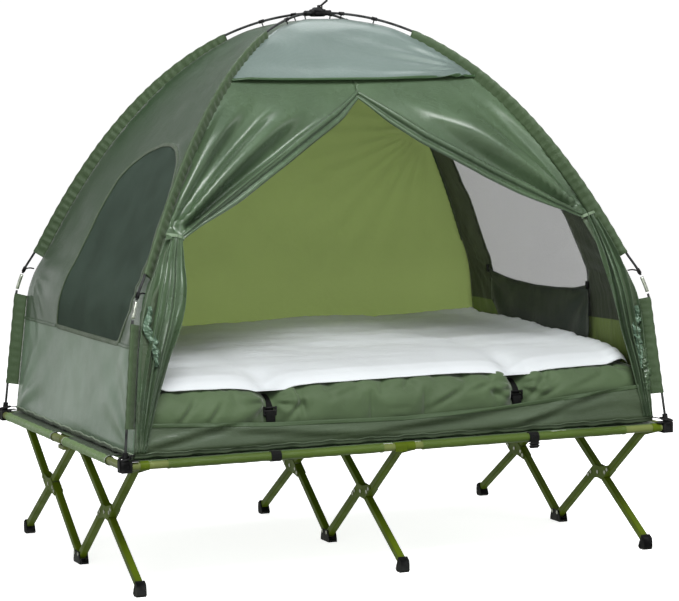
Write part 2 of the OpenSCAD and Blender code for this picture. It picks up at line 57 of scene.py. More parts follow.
CAMERA_TURN, CAMERA_RISE, CAMERA_ROLL = (math.radians(a) for a in (-22.128, 4.866, -0.942))
CAMERA_LENS = 137.378


def make_camera():
    back = Vector((
        math.sin(CAMERA_TURN) * math.cos(CAMERA_RISE),
        -math.cos(CAMERA_TURN) * math.cos(CAMERA_RISE),
        math.sin(CAMERA_RISE),
    ))
    right = Vector((0, 0, 1)).cross(back).normalized()
    up = back.cross(right)
    c, s = math.cos(CAMERA_ROLL), math.sin(CAMERA_ROLL)
    x, y = c * right + s * up, c * up - s * right
    data = bpy.data.cameras.new("camera")
    data.lens, data.sensor_width, data.sensor_fit = CAMERA_LENS, 36, "HORIZONTAL"
    data.clip_start, data.clip_end = 0.1, 200
    cam = bpy.data.objects.new("camera", data)
    bpy.context.scene.collection.objects.link(cam)
    cam.matrix_world = Matrix((
        (x.x, y.x, back.x, CAMERA_AT[0]),
        (x.y, y.y, back.y, CAMERA_AT[1]),
        (x.z, y.z, back.z, CAMERA_AT[2]),
        (0, 0, 0, 1),
    ))
    bpy.context.scene.camera = cam


make_camera()


# ---------------------------------------------------------------- materials
def srgb(r, g, b):
    """Linear colour of an 8-bit display colour."""
    return tuple(((c / 255 + 0.055) / 1.055) ** 2.4 if c > 10.3 else c / 255 / 12.92 for c in (r, g, b)) + (1.0,)


class Paint:
    """A node material being put together round one Principled shader."""

    def __init__(self, name, colour, rough, metal=0.0, sheen=0.0, coat=0.0, specular=0.5):
        self.mat = bpy.data.materials.new(name)
        self.mat.use_nodes = True
        self.nodes, self.links = self.mat.node_tree.nodes, self.mat.node_tree.links
        self.shader = self.nodes["Principled BSDF"]
        self.out = self.nodes["Material Output"]
        s = self.shader.inputs
        s["Base Color"].default_value = colour
        s["Roughness"].default_value = rough
        s["Metallic"].default_value = metal
        s["Sheen Weight"].default_value = sheen
        s["Sheen Roughness"].default_value = 0.4
        s["Coat Weight"].default_value = coat
        s["Coat Roughness"].default_value = 0.25
        s["Specular IOR Level"].default_value = specular
        self.mat.diffuse_color = colour
        self.colour, self.rough = colour, rough
        self.where = self.node("ShaderNodeTexCoord").outputs["Object"]
        self.bumped = None

    def node(self, kind, **values):
        n = self.nodes.new(kind)
        for key, value in values.items():
            setattr(n, key, value)
        return n

    def noise(self, scale, detail=3.0, rough=0.5, stretch=(1, 1, 1)):
        mapping = self.node("ShaderNodeMapping")
        mapping.inputs["Scale"].default_value = stretch
        self.links.new(self.where, mapping.inputs["Vector"])
        n = self.node("ShaderNodeTexNoise")
        n.inputs["Scale"].default_value = scale
        n.inputs["Detail"].default_value = detail
        n.inputs["Roughness"].default_value = rough
        self.links.new(mapping.outputs["Vector"], n.inputs["Vector"])
        return n.outputs["Fac"]

    def ramp(self, value, low, high, a=0.0, b=1.0):
        n = self.node("ShaderNodeMapRange")
        n.interpolation_type = "SMOOTHSTEP"
        for key, v in (("From Min", low), ("From Max", high), ("To Min", a), ("To Max", b)):
            n.inputs[key].default_value = v
        self.links.new(value, n.inputs["Value"])
        return n.outputs["Result"]

    def math(self, kind, a, b):
        n = self.node("ShaderNodeMath", operation=kind)
        for socket, v in zip(n.inputs, (a, b)):
            if isinstance(v, (int, float)):
                socket.default_value = v
            else:
                self.links.new(v, socket)
        return n.outputs["Value"]

    def mix(self, factor, a, b):
        """Colour a where factor is 0 and b where it is 1."""
        n = self.node("ShaderNodeMix", data_type="RGBA")
        self.links.new(factor, n.inputs["Factor"])
        for socket, v in ((n.inputs["A"], a), (n.inputs["B"], b)):
            if isinstance(v, tuple):
                socket.default_value = v
            else:
                self.links.new(v, socket)
        return n.outputs["Result"]

    def set(self, socket, value):
        self.links.new(value, self.shader.inputs[socket])

    def bump(self, height, distance, strength=1.0):
        n = self.node("ShaderNodeBump")
        n.inputs["Distance"].default_value = distance
        n.inputs["Strength"].default_value = strength
        self.links.new(height, n.inputs["Height"])
        if self.bumped:
            self.links.new(self.bumped, n.inputs["Normal"])
        self.bumped = n.outputs["Normal"]
        self.links.new(self.bumped, self.shader.inputs["Normal"])

    def vary(self, amount, scale, other=None):
        """Soft patches of a slightly different tone over the base colour."""
        dark = other or tuple(c * (1 - amount) for c in self.colour[:3]) + (1.0,)
        colour = self.mix(self.ramp(self.noise(scale), 0.35, 0.68), self.colour, dark)
        self.set("Base Color", colour)
        return colour

    def weave(self, pitch, distance):
        """Plain weave: threads crossing in the plane of the cloth, whichever way it faces."""
        split = self.node("ShaderNodeSeparateXYZ")
        self.links.new(self.where, split.inputs["Vector"])
        waves = []
        for axis in "XYZ":
            turn = self.math("MULTIPLY", split.outputs[axis], 2 * math.pi / pitch)
            waves.append(self.math("SINE", turn, 0.0))
        pairs = [self.math("MULTIPLY", waves[i], waves[(i + 1) % 3]) for i in range(3)]
        total = self.math("ADD", self.math("ADD", pairs[0], pairs[1]), pairs[2])
        self.bump(total, distance)
        return total

    def translucent(self, share, colour):
        """Lets part of the light through the cloth, tinted."""
        glow = self.node("ShaderNodeBsdfTranslucent")
        glow.inputs["Color"].default_value = colour
        both = self.node("ShaderNodeMixShader")
        both.inputs["Fac"].default_value = share
        if self.bumped:
            self.links.new(self.bumped, glow.inputs["Normal"])
        self.links.new(self.shader.outputs["BSDF"], both.inputs[1])
        self.links.new(glow.outputs["BSDF"], both.inputs[2])
        self.links.new(both.outputs["Shader"], self.out.inputs["Surface"])

    def see_through(self, share):
        """Fine open mesh: share of the surface is holes."""
        hole = self.node("ShaderNodeBsdfTransparent")
        both = self.node("ShaderNodeMixShader")
        both.inputs["Fac"].default_value = share
        self.links.new(self.shader.outputs["BSDF"], both.inputs[1])
        self.links.new(hole.outputs["BSDF"], both.inputs[2])
        self.links.new(both.outputs["Shader"], self.out.inputs["Surface"])


def polyester(name, colour, rough=0.42, coat=0.25, glow=None, share=0.0, pucker=0.0016, tone=0.16, above=None):
    """Coated tent polyester: fine weave, soft puckers, a satin skin, and light coming through.

    above: another colour, taken over between two heights; the side walls use it so that the paler cloth below the seam
    is painted sheen, the rear wall so that its darker top is painted shade.
    """
    p = Paint(name, colour, rough, sheen=0.15, coat=coat)
    for socket in ("Coat Tint", "Specular Tint"):
        p.shader.inputs[socket].default_value = (0.85, 1.0, 0.89, 1)
    base = p.vary(tone, 2.6)
    if above:
        split = p.node("ShaderNodeSeparateXYZ")
        p.links.new(p.where, split.inputs["Vector"])
        share_above = p.node("ShaderNodeMapRange")
        p.links.new(split.outputs["Z"], share_above.inputs["Value"])
        share_above.inputs["From Min"].default_value, share_above.inputs["From Max"].default_value = above[1:]
        tinted = p.mix(p.math("MULTIPLY", p.ramp(p.noise(2.6, 4), 0.3, 0.7), tone), above[0], tuple(c * 0.5 for c in above[0][:3]) + (1.0,))
        p.set("Base Color", p.mix(share_above.outputs["Result"], base, tinted))
    p.set("Roughness", p.ramp(p.noise(9.0, 4), 0.3, 0.7, rough - 0.07, rough + 0.08))
    p.bump(p.noise(7.0, 4, 0.55), pucker * 3)
    p.bump(p.noise(34.0, 3, 0.6), pucker * 0.7)
    p.weave(0.0022, 0.00012)
    if glow:
        p.translucent(share, glow)
    return p.mat


def lining_with_painted_shade(name, high, low, level):
    """Lining cloth: a dark colour above a seam at that height, which is painted shade, and a paler one below it, where
    it is gathered, with painted shade darkening its pleats.
    """
    p = Paint(name, high, 0.6, sheen=0.15)
    split = p.node("ShaderNodeSeparateXYZ")
    p.links.new(p.where, split.inputs["Vector"])
    # Painted shade: below the seam the cloth is darkened towards half its colour along the pleat streaks, the same
    # streaks that the pleat bump raises.
    pleats = p.ramp(p.noise(30.0, 3, 0.5, (0.4, 2.0, 0.12)), 0.35, 0.7)
    gathered = p.mix(p.math("MULTIPLY", pleats, 0.35), low, tuple(c * 0.5 for c in low[:3]) + (1.0,))
    tone = p.mix(p.ramp(p.noise(3.0), 0.35, 0.7), high, tuple(c * 0.82 for c in high[:3]) + (1.0,))
    p.set("Base Color", p.mix(p.ramp(split.outputs["Z"], level - 0.002, level + 0.002), gathered, tone))
    p.bump(p.noise(7.0, 4, 0.55), 0.004)
    p.bump(p.noise(30.0, 3, 0.5, (0.4, 2.0, 0.12)), 0.003)
    p.weave(0.0022, 0.00012)
    return p.mat


def painted_tube(name, colour, rough=0.36):
    """Powder coat on steel: slight orange peel, duller and scuffed in places."""
    p = Paint(name, colour, rough, coat=0.03, specular=0.12)
    base = p.vary(0.22, 9.0)
    scuff = p.ramp(p.noise(60.0, 6, 0.7), 0.63, 0.72)
    worn = tuple(min(1, c * 1.7 + 0.05) for c in colour[:3]) + (1.0,)
    p.set("Base Color", p.mix(p.math("MULTIPLY", scuff, 0.35), base, worn))
    p.set("Roughness", p.ramp(p.noise(18.0, 4), 0.3, 0.7, rough - 0.08, rough + 0.12))
    p.bump(p.noise(420.0, 2), 0.00012)
    return p.mat


def moulded(name, colour, rough=0.5):
    """Moulded plastic or rubber: fine grain, paler rubbed patches."""
    p = Paint(name, colour, rough, specular=0.12)
    pale = tuple(min(1, c * 1.6 + 0.02) for c in colour[:3]) + (1.0,)
    p.vary(0.0, 30.0, pale)
    p.set("Roughness", p.ramp(p.noise(26.0, 4), 0.3, 0.7, rough - 0.1, rough + 0.12))
    p.bump(p.noise(700.0, 2), 0.00015)
    return p.mat


def bare_metal(name, colour, rough=0.28):
    p = Paint(name, colour, rough, metal=1.0)
    p.vary(0.25, 60.0)
    p.set("Roughness", p.ramp(p.noise(150.0, 4), 0.3, 0.7, rough - 0.1, rough + 0.15))
    p.bump(p.noise(900.0, 2, stretch=(1, 1, 0.1)), 0.00008)
    return p.mat


def webbing(name, colour):
    p = Paint(name, colour, 0.7, sheen=0.04, specular=0.2)
    p.vary(0.3, 40.0)
    p.weave(0.0034, 0.0005)
    return p.mat


def cotton(name, colour, rough=0.8, weave=0.003):
    p = Paint(name, colour, rough, sheen=0.25)
    p.vary(0.05, 3.0)
    p.bump(p.noise(6.0, 5, 0.6), 0.004)
    p.bump(p.noise(28.0, 4, 0.6), 0.0012)
    p.weave(weave, 0.00015)
    return p.mat


def flocked(name, colour):
    """Velvety airbed side."""
    p = Paint(name, colour, 0.7, sheen=0.5)
    p.vary(0.14, 5.0)
    p.bump(p.noise(900.0, 2), 0.0003)
    p.bump(p.noise(11.0, 4, 0.6), 0.003)
    return p.mat


def insect_mesh(name, colour, open_share):
    p = Paint(name, colour, 0.75, specular=0.15)
    p.vary(0.2, 6.0)
    p.weave(0.0026, 0.0003)
    p.see_through(open_share)
    return p.mat


TENT = polyester("tent_cloth", srgb(54, 80, 46), rough=0.36, coat=0.55, glow=srgb(150, 175, 110), share=0.12)
# Side walls outside: the paler colour below the seam at about 0.768 m, against the dark one above, is painted sheen on
# the lower walls.
SIDE_OUT_SHEEN_BELOW = polyester("side_cloth", srgb(118, 138, 118), rough=0.36, coat=0.55, glow=srgb(150, 175, 110), share=0.12,
                     above=(srgb(50, 76, 44), 0.765, 0.771))
DOOR = polyester("door_cloth", srgb(88, 102, 78), rough=0.30, coat=1.0, glow=srgb(150, 165, 120), share=0.08, tone=0.34)
# Sill: the tent cloth in a darker copy, painted shade on its upright face; the front hem piping and the hem skirts take
# it too.
SILL_SHADED = polyester("sill_cloth_shaded", srgb(72, 84, 62), rough=0.42, coat=0.25)
TENT_IN = polyester("tent_cloth_inside", srgb(78, 92, 58), rough=0.6, coat=0.0)
REAR_OUT = polyester("rear_cloth", srgb(124, 148, 114), rough=0.40, coat=0.55, glow=srgb(236, 244, 220), share=0.55)
# Inside of the rear wall: the pale base colour partly paints the light shining through it from behind, beside the
# translucency, and the darker colour blended in from 1.15 m up to 1.62 m is painted shade towards the peak.
REAR_IN_PAINTED_LIGHT = polyester("rear_cloth_inside_painted_light", srgb(150, 168, 100), rough=0.6, coat=0.0, glow=srgb(206, 222, 150), share=0.5,
                    above=(srgb(52, 70, 18), 1.15, 1.62))
# Inside of the side walls: dark above the seam at 0.768 m, which is painted shade, paler below it with painted shade in
# its pleats.
SIDE_IN_SHADED = lining_with_painted_shade("side_cloth_inside_shaded", srgb(42, 50, 30), srgb(104, 122, 58), 0.768)
# Roof: pale grey-blue instead of the tent green, a painted sheen of the bright overhead light on the roof cloth.
ROOF_SHEEN_PAINTED = polyester("roof_cloth", srgb(116, 126, 126), rough=0.36, coat=0.5)
SLEEVE = polyester("pole_sleeve_cloth", srgb(66, 84, 54), rough=0.5, coat=0.1)
PIPING = polyester("hem_piping", srgb(150, 165, 140), rough=0.5, coat=0.1)
DARK_FLAP = polyester("flap_cloth", srgb(26, 31, 24), rough=0.55, coat=0.05)
BED = polyester("bed_cloth", srgb(84, 108, 66), rough=0.48, coat=0.15)
HEM = polyester("rail_hem_cloth", srgb(76, 97, 18), rough=0.42, coat=0.0)
BAR_SLEEVE = polyester("bar_sleeve_cloth", srgb(116, 146, 82), rough=0.45, coat=0.1)
DARK_MESH = insect_mesh("window_mesh_dark", srgb(72, 88, 78), 0.10)
PALE_MESH = insect_mesh("window_mesh_pale", srgb(140, 142, 140), 0.52)
OLIVE = painted_tube("olive_paint", srgb(88, 106, 20), 0.40)
PALE = painted_tube("pale_tube_paint", srgb(118, 128, 74), 0.34)
BLACK = moulded("black_plastic", srgb(8, 8, 9))
RUBBER = moulded("black_rubber", srgb(5, 5, 6), 0.6)
RIVET = bare_metal("rivet_steel", srgb(196, 196, 188))
FERRULE = bare_metal("ferrule_metal", srgb(205, 212, 208), 0.3)
ROD = moulded("pole_black", srgb(38, 40, 40), 0.32)
ROD_PALE = bare_metal("pole_pale", srgb(214, 220, 206), 0.35)
WEB = webbing("black_webbing", srgb(17, 18, 18))
COTTON = cotton("white_sheet", srgb(226, 231, 234))
FLOCK = flocked("mattress_cloth", srgb(76, 97, 63))
# Bed cloth running up to the end bars: a darker copy of bed_cloth, painted shade between the tent's end walls and the
# bars.
BAR_WEB_SHADED = polyester("bar_web_cloth_shaded", srgb(52, 68, 40), rough=0.5, coat=0.05)
ZIP = moulded("zip_teeth", srgb(36, 42, 36), 0.4)
PIPING_GREEN = polyester("tie_cloth", srgb(120, 138, 112), rough=0.5, coat=0.1)
PIPING_WHITE = polyester("bar_hem_cloth", srgb(196, 204, 192), rough=0.6, coat=0.0)
SHINY = polyester("shiny_cloth", srgb(112, 130, 116), rough=0.2, coat=0.9, pucker=0.002)

# ---------------------------------------------------------------- shape of the shelter
HALF_LENGTH, HALF_WIDTH = 0.95, 0.715
DIAG = math.hypot(HALF_LENGTH, HALF_WIDTH)
DX, DY = HALF_LENGTH / DIAG, HALF_WIDTH / DIAG
APEX = 1.828
HEM_Z = 0.448
SEAM_GAP = 0.043
SEAM_DROP = 0.026


def arch_z(s):
    """Height of the pole at distance s from the middle, along the diagonal."""
    return APEX - s * s / 1.62 - 0.109 * s**4


def evenly(points, step):
    """The same open line with points a step apart."""
    points = np.asarray(points, float)
    run = np.concatenate([[0], np.cumsum(np.linalg.norm(np.diff(points, axis=0), axis=1))])
    count = max(2, int(round(run[-1] / step)) + 1)
    at = np.linspace(0, run[-1], count)
    return np.stack([np.interp(at, run, points[:, i]) for i in range(points.shape[1])], axis=1)


def softened(points, times):
    """Rounds the corners of an evenly spaced line, keeping its ends."""
    p = np.array(points, float)
    for _ in range(times):
        p[1:-1] = (p[:-2] + 2 * p[1:-1] + p[2:]) / 4
    return p


POLE_FOOT = (DIAG - 0.004, 0.442)
arc = [(s, arch_z(s)) for s in np.linspace(1.055, 0, 60)]
pole_line = softened(evenly([POLE_FOOT, (DIAG - 0.059, 0.870), (DIAG - 0.089, 0.945), *arc], 0.008), 12)


def seam_of(p):
    drop = SEAM_DROP * max(0.0, 1 - p[0] / 0.3)
    return (max(p[0] - SEAM_GAP, 0.0), p[1] - drop)


seam_points = [seam_of(p) for p in pole_line if p[1] >= HEM_Z and p[0] > SEAM_GAP] + [(0.0, APEX - SEAM_DROP)]
seam_line = softened(evenly(seam_points, 0.008), 6)
SEAM_S, SEAM_Z = seam_line[:, 0], seam_line[:, 1]
SEAM_T = np.concatenate([[0], np.cumsum(np.linalg.norm(np.diff(seam_line, axis=0), axis=1))])
TOP_T = SEAM_T[-1]


def t_at(z):
    """Distance up the seam of the height z."""
    return np.interp(z, SEAM_Z, SEAM_T)


def smooth(x, low, high):
    x = np.clip((np.asarray(x, float) - low) / (high - low), 0, 1)
    return x * x * (3 - 2 * x)


def bell(x, centre, width):
    return np.exp(-(((np.asarray(x, float) - centre) / width) ** 2))


def ripple(points, scale, seed):
    """Smooth aimless waves of about that wavelength, from -1 to 1."""
    rng = np.random.default_rng(seed)
    p = np.asarray(points, float)
    total = 0
    for _ in range(14):
        d = rng.normal(size=p.shape[1])
        d /= np.linalg.norm(d)
        total = total + np.sin(p @ d * (2 * math.pi / (scale * rng.uniform(0.65, 1.7))) + rng.uniform(0, 6.28))
    return total / 5.5


# out and along shares of the diagonal, and the place of (out, along) for each wall
SIDES = {
    "left": (DX, DY, lambda o, w: (-o, w)),
    "right": (DX, DY, lambda o, w: (o, w)),
    "front": (DY, DX, lambda o, w: (w, -o)),
    "rear": (DY, DX, lambda o, w: (w, o)),
}
CAVE = 0.016


def half_width(side, t):
    return np.interp(t, SEAM_T, SEAM_S) * SIDES[side][1]


def on_wall(side, w, t, push=0.0):
    """Points of a wall: w along it, t up the seam, pushed outwards by push. The cloth draws in a little mid-span."""
    out_share, along_share, place = SIDES[side]
    w, t = np.asarray(w, float), np.asarray(t, float)
    s, z = np.interp(t, SEAM_T, SEAM_S), np.interp(t, SEAM_T, SEAM_Z)
    half = np.maximum(s * along_share, 1e-4)
    a = np.clip(np.abs(w) / half, 0, 1)
    rise = np.interp(t + 0.01, SEAM_T, SEAM_Z) - np.interp(t - 0.01, SEAM_T, SEAM_Z)
    run = (np.interp(t - 0.01, SEAM_T, SEAM_S) - np.interp(t + 0.01, SEAM_T, SEAM_S)) * out_share
    size = np.maximum(np.hypot(rise, run), 1e-6)
    n_out, n_up = rise / size, run / size
    move = push - CAVE * (1 - a**2) * smooth(t, 0.02, 0.3) * (1 - smooth(t, TOP_T - 0.5, TOP_T - 0.1))
    out, up = s * out_share + move * n_out, z + move * n_up
    x, y = place(out, w)
    return np.stack([x, y, up], axis=-1)


# ---------------------------------------------------------------- mesh helpers
def make_object(name, verts, faces, mats, body, smooth_faces=True):
    mesh = bpy.data.meshes.new(name)
    mesh.from_pydata([tuple(map(float, v)) for v in verts], [], [tuple(map(int, f)) for f in faces])
    mesh.update()
    if smooth_faces:
        mesh.polygons.foreach_set("use_smooth", [True] * len(mesh.polygons))
    obj = bpy.data.objects.new(name, mesh)
    bpy.context.scene.collection.objects.link(obj)
    for m in mats if isinstance(mats, (list, tuple)) else [mats]:
        mesh.materials.append(m)
    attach(obj, body)
    return obj


def thicken(obj, thickness, offset=0.0, inner=False):
    """Gives a sheet its thickness; with inner, the far side takes the second material."""
    m = obj.modifiers.new("thickness", "SOLIDIFY")
    m.thickness, m.offset = thickness, offset
    m.use_even_offset = False
    if inner:
        m.material_offset = 1
    return m


def inside(points, loop):
    """Which 2D points are inside a closed loop."""
    x, y = points[:, 0], points[:, 1]
    result = np.zeros(len(points), bool)
    for (x0, y0), (x1, y1) in zip(loop, np.roll(loop, -1, axis=0)):
        crosses = (y0 > y) != (y1 > y)
        if abs(y1 - y0) > 1e-12:
            result ^= crosses & (x < (x1 - x0) * (y - y0) / (y1 - y0) + x0)
    return result


def closed_evenly(loop, step):
    loop = np.asarray(loop, float)
    return evenly(np.vstack([loop, loop[:1]]), step)[:-1]


def flat_mesh(outline, holes, step):
    """2D points and triangles filling an outline with holes, about a step apart."""
    loops = [closed_evenly(outline, step)] + [closed_evenly(h, step) for h in holes]
    low, high = loops[0].min(0), loops[0].max(0)
    rows = []
    for j, y in enumerate(np.arange(low[1] + step * 0.5, high[1], step * 0.866)):
        xs = np.arange(low[0] + (0.5 if j % 2 else 0.0) * step, high[0], step)
        rows.append(np.stack([xs, np.full(len(xs), y)], axis=1))
    grid = np.vstack(rows)
    keep = inside(grid, loops[0])
    for h in loops[1:]:
        keep &= ~inside(grid, h)
    grid = grid[keep]
    rim = np.vstack(loops)
    near = np.ones(len(grid), bool)
    for i in range(0, len(rim), 200):
        d = grid[:, None, :] - rim[None, i:i + 200, :]
        near &= (d**2).sum(2).min(1) > (step * 0.55) ** 2
    grid = grid[near]
    points = np.vstack([rim, grid])
    edges, start = [], 0
    for loop in loops:
        n = len(loop)
        edges += [(start + i, start + (i + 1) % n) for i in range(n)]
        start += n
    out = delaunay_2d_cdt([Vector(p) for p in points], edges, [], 0, 1e-7)
    verts = np.array([tuple(v) for v in out[0]])
    faces = np.array(out[2])
    centre = verts[faces].mean(1)
    keep = inside(centre, loops[0])
    for h in loops[1:]:
        keep &= ~inside(centre, h)
    return verts, faces[keep]


def facing(verts, faces, away_from):
    """Turns the triangles so that they face away from a point."""
    v, f = np.asarray(verts), np.array(faces)
    n = np.cross(v[f[:, 1]] - v[f[:, 0]], v[f[:, 2]] - v[f[:, 0]])
    flip = (n * (v[f].mean(1) - np.asarray(away_from))).sum(1).sum() < 0
    return f[:, ::-1] if flip else f


INSIDE_POINT = (0, 0, 0.9)


def wall_piece(name, side, outline, holes, push, mats, step=0.016, thickness=0.0012, body="shelter"):
    """A piece of one wall: outline and holes in (along, up the seam); push(w, t) gives its relief."""
    flat, faces = flat_mesh(outline, holes, step)
    verts = on_wall(side, flat[:, 0], flat[:, 1], push(flat[:, 0], flat[:, 1]))
    faces = facing(verts, faces, INSIDE_POINT)
    obj = make_object(name, verts, faces, mats, body)
    thicken(obj, thickness, -1.0, len(mats) > 1)
    return obj, area_of(verts, faces)


def area_of(verts, faces):
    v, f = np.asarray(verts), np.asarray(faces)
    return float(np.linalg.norm(np.cross(v[f[:, 1]] - v[f[:, 0]], v[f[:, 2]] - v[f[:, 0]]), axis=1).sum() / 2)


def grid_object(name, points, mats, body, thickness=0.0012, inner=False, offset=0.0, closed_u=False, closed_v=False):
    """A quad grid from an array of points [u, v, 3]."""
    p = np.asarray(points, float)
    nu, nv = p.shape[:2]
    faces = []
    for i in range(nu if closed_u else nu - 1):
        for j in range(nv if closed_v else nv - 1):
            a, b = i * nv + j, ((i + 1) % nu) * nv + j
            faces.append((a, b, ((i + 1) % nu) * nv + (j + 1) % nv, i * nv + (j + 1) % nv))
    obj = make_object(name, p.reshape(-1, 3), faces, mats, body)
    if thickness:
        thicken(obj, thickness, offset, inner)
    return obj


def frames_along(path):
    """Tangent, side and up vectors along a 3D line, turning as little as possible."""
    p = np.asarray(path, float)
    t = np.gradient(p, axis=0)
    t /= np.linalg.norm(t, axis=1)[:, None]
    ref = np.array([0.0, 0.0, 1.0]) if abs(t[0, 2]) < 0.9 else np.array([1.0, 0.0, 0.0])
    side = np.zeros_like(p)
    s = np.cross(t[0], ref)
    for i, d in enumerate(t):
        s = s - d * (s @ d)
        s /= np.linalg.norm(s)
        side[i] = s
    return t, side, np.cross(side, t)


def tube(name, path, radius, mats, body, sides=14, caps=True, squash=1.0):
    """Round tube along a line; radius is a number or one per point."""
    p = np.asarray(path, float)
    t, a, b = frames_along(p)
    r = np.broadcast_to(np.asarray(radius, float), (len(p),))
    angles = np.linspace(0, 2 * math.pi, sides, endpoint=False)
    ring = np.cos(angles)[None, :, None] * a[:, None, :] + np.sin(angles)[None, :, None] * b[:, None, :] * squash
    points = p[:, None, :] + ring * r[:, None, None]
    n = len(p)
    faces = [
        (i * sides + k, i * sides + (k + 1) % sides, (i + 1) * sides + (k + 1) % sides, (i + 1) * sides + k)
        for i in range(n - 1) for k in range(sides)
    ]
    if caps:
        faces += [tuple(range(sides - 1, -1, -1)), tuple(range((n - 1) * sides, n * sides))]
    obj = make_object(name, points.reshape(-1, 3), faces, mats, body)
    return obj


def join(name, objects, body):
    """Several new objects as one piece."""
    bpy.ops.object.select_all(action="DESELECT")
    for o in objects:
        o.parent = None
        o.select_set(True)
    bpy.context.view_layer.objects.active = objects[0]
    bpy.ops.object.join()
    objects[0].name = name
    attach(objects[0], body)
    return objects[0]


def in_corner(s, z, off=0.0, corner=(1, -1)):
    """Point near the pole over a corner: s from the middle along the diagonal, off across it."""
    dx, dy = corner[0] * DX, corner[1] * DY
    return np.array([dx * s - dy * off, dy * s + dx * off, z])


CORNERS = {"front_left": (-1, -1), "front_right": (1, -1), "rear_left": (-1, 1), "rear_right": (1, 1)}


def ribbon_on_wall(name, side, path, width, lift, mats, relief=None, body="shelter", step=0.012, closed=False):
    """A sewn tape lying on a wall along a line of (along, up the seam) points."""
    line = closed_evenly(path, step) if closed else evenly(path, step)
    d = np.roll(line, -1, 0) - np.roll(line, 1, 0) if closed else np.gradient(line, axis=0)
    d /= np.linalg.norm(d, axis=1)[:, None]
    n = np.stack([-d[:, 1], d[:, 0]], axis=1)
    across = np.array([-0.5, -0.42, -0.2, 0.0, 0.2, 0.42, 0.5])
    heights = 0.0004 + lift * np.array([0, 0.8, 1, 0.9, 1, 0.8, 0])
    points = []
    for k, h in zip(across, heights):
        q = line + n * k * width
        lie = relief(q[:, 0], q[:, 1]) if relief else 0.0
        points.append(on_wall(side, q[:, 0], q[:, 1], h + lie))
    points = np.stack(points, axis=1)
    return grid_object(name, points, mats, body, thickness=0.0, closed_u=closed)


# ---------------------------------------------------------------- walls
WINDOW = [
    (-0.405, 0.772), (-0.480, 0.850), (-0.507, 0.940), (-0.498, 1.030), (-0.468, 1.150), (-0.409, 1.269),
    (-0.330, 1.345), (-0.245, 1.385), (-0.150, 1.402), (-0.060, 1.400), (0.060, 1.378), (0.160, 1.335),
    (0.222, 1.275), (0.245, 1.190), (0.258, 1.060), (0.280, 0.900), (0.306, 0.772),
]


RIGHT_WINDOW = [
    (-0.318, 0.772), (-0.345, 0.870), (-0.378, 0.960), (-0.385, 1.065), (-0.370, 1.165), (-0.335, 1.250), (-0.265, 1.325),
    (-0.150, 1.385), (0.0, 1.410), (0.150, 1.412), (0.235, 1.398), (0.290, 1.360), (0.325, 1.250), (0.360, 1.100),
    (0.400, 1.000), (0.435, 0.890), (0.462, 0.772),
]


def window_loop(outline):
    loop = np.array([(w, t_at(z)) for w, z in outline])
    loop = closed_evenly(loop, 0.016)
    for _ in range(2):
        loop = (np.roll(loop, 1, 0) + 2 * loop + np.roll(loop, -1, 0)) / 4
    return loop


def gore_outline(side, low_t=0.0, high_t=None):
    high_t = TOP_T - 0.012 if high_t is None else high_t
    ts = np.arange(low_t, high_t, 0.012)
    up = [(half_width(side, t), t) for t in ts] + [(half_width(side, high_t), high_t)]
    return np.array([(w, t) for w, t in up] + [(-w, t) for w, t in reversed(up)])


def edge_share(side, w, t):
    """0 mid-wall, 1 at the corner seams."""
    return np.clip(np.abs(w) / np.maximum(half_width(side, t), 1e-3), 0, 1)


def pulls(w, t, at, reach, waves, depth, turn=0.0):
    """Creases fanning out from a point where the cloth is held."""
    x, y = w - at[0], t - at[1]
    r = np.hypot(x, y)
    angle = np.arctan2(y, x)
    return depth * np.sin(angle * waves + turn) * smooth(r, 0.0, reach * 0.3) * np.exp(-r / reach * 1.6)


def side_relief(side, seed):
    def push(w, t):
        a = edge_share(side, w, t)
        calm = 1 - smooth(a, 0.86, 1.0)
        p = np.stack([w, t], axis=-1)
        total = 0.0045 * ripple(p, 0.5, seed) + 0.0016 * ripple(p * [1.0, 2.2], 0.22, seed + 1)
        half0 = half_width(side, 0)
        for sign in (-1, 1):
            total = total + pulls(w, t, (sign * half0, 0.0), 0.5, 13, 0.006, seed + sign)
            total = total + pulls(w, t, (sign * half_width(side, 0.5), 0.5), 0.35, 17, 0.004, seed * 2 + sign)
        return total * calm * smooth(t, 0.0, 0.03)
    return push


def extent(outline):
    """Width and height of the flat piece a panel is cut from."""
    return tuple(float(v) for v in np.ptp(outline, axis=0))


def side_walls():
    for side, outline, mesh_mat, inner in (("left", WINDOW, DARK_MESH, SIDE_IN_SHADED), ("right", RIGHT_WINDOW, PALE_MESH, SIDE_IN_SHADED)):
        relief = side_relief(side, 3 if side == "left" else 8)
        hole = window_loop(outline)
        wall, area = wall_piece(f"{side}_side_cloth", side, gore_outline(side), [hole], relief, [SIDE_OUT_SHEEN_BELOW, inner])
        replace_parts(wall, f"{side}_wall")
        extent(gore_outline(side))
        net, area = wall_piece(
            f"{side}_window_net", side, hole, [], lambda w, t, r=relief: r(w, t) - 0.0006, [mesh_mat], thickness=0.0005)
        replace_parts(net, f"{side}_window_mesh")
        ribbon_on_wall(f"{side}_window_tape", side, hole, 0.016, 0.0018, [SLEEVE], relief, closed=True)
        t = float(t_at(0.772))
        half = float(half_width(side, t)) - 0.004
        for k, (w0, w1) in enumerate(((-half, outline[0][0] - 0.006), (outline[-1][0] + 0.006, half))):
            ribbon_on_wall(f"{side}_hem_seam_{k}", side, [(w0, t), (w1, t)], 0.012, 0.0014, [TENT], relief)


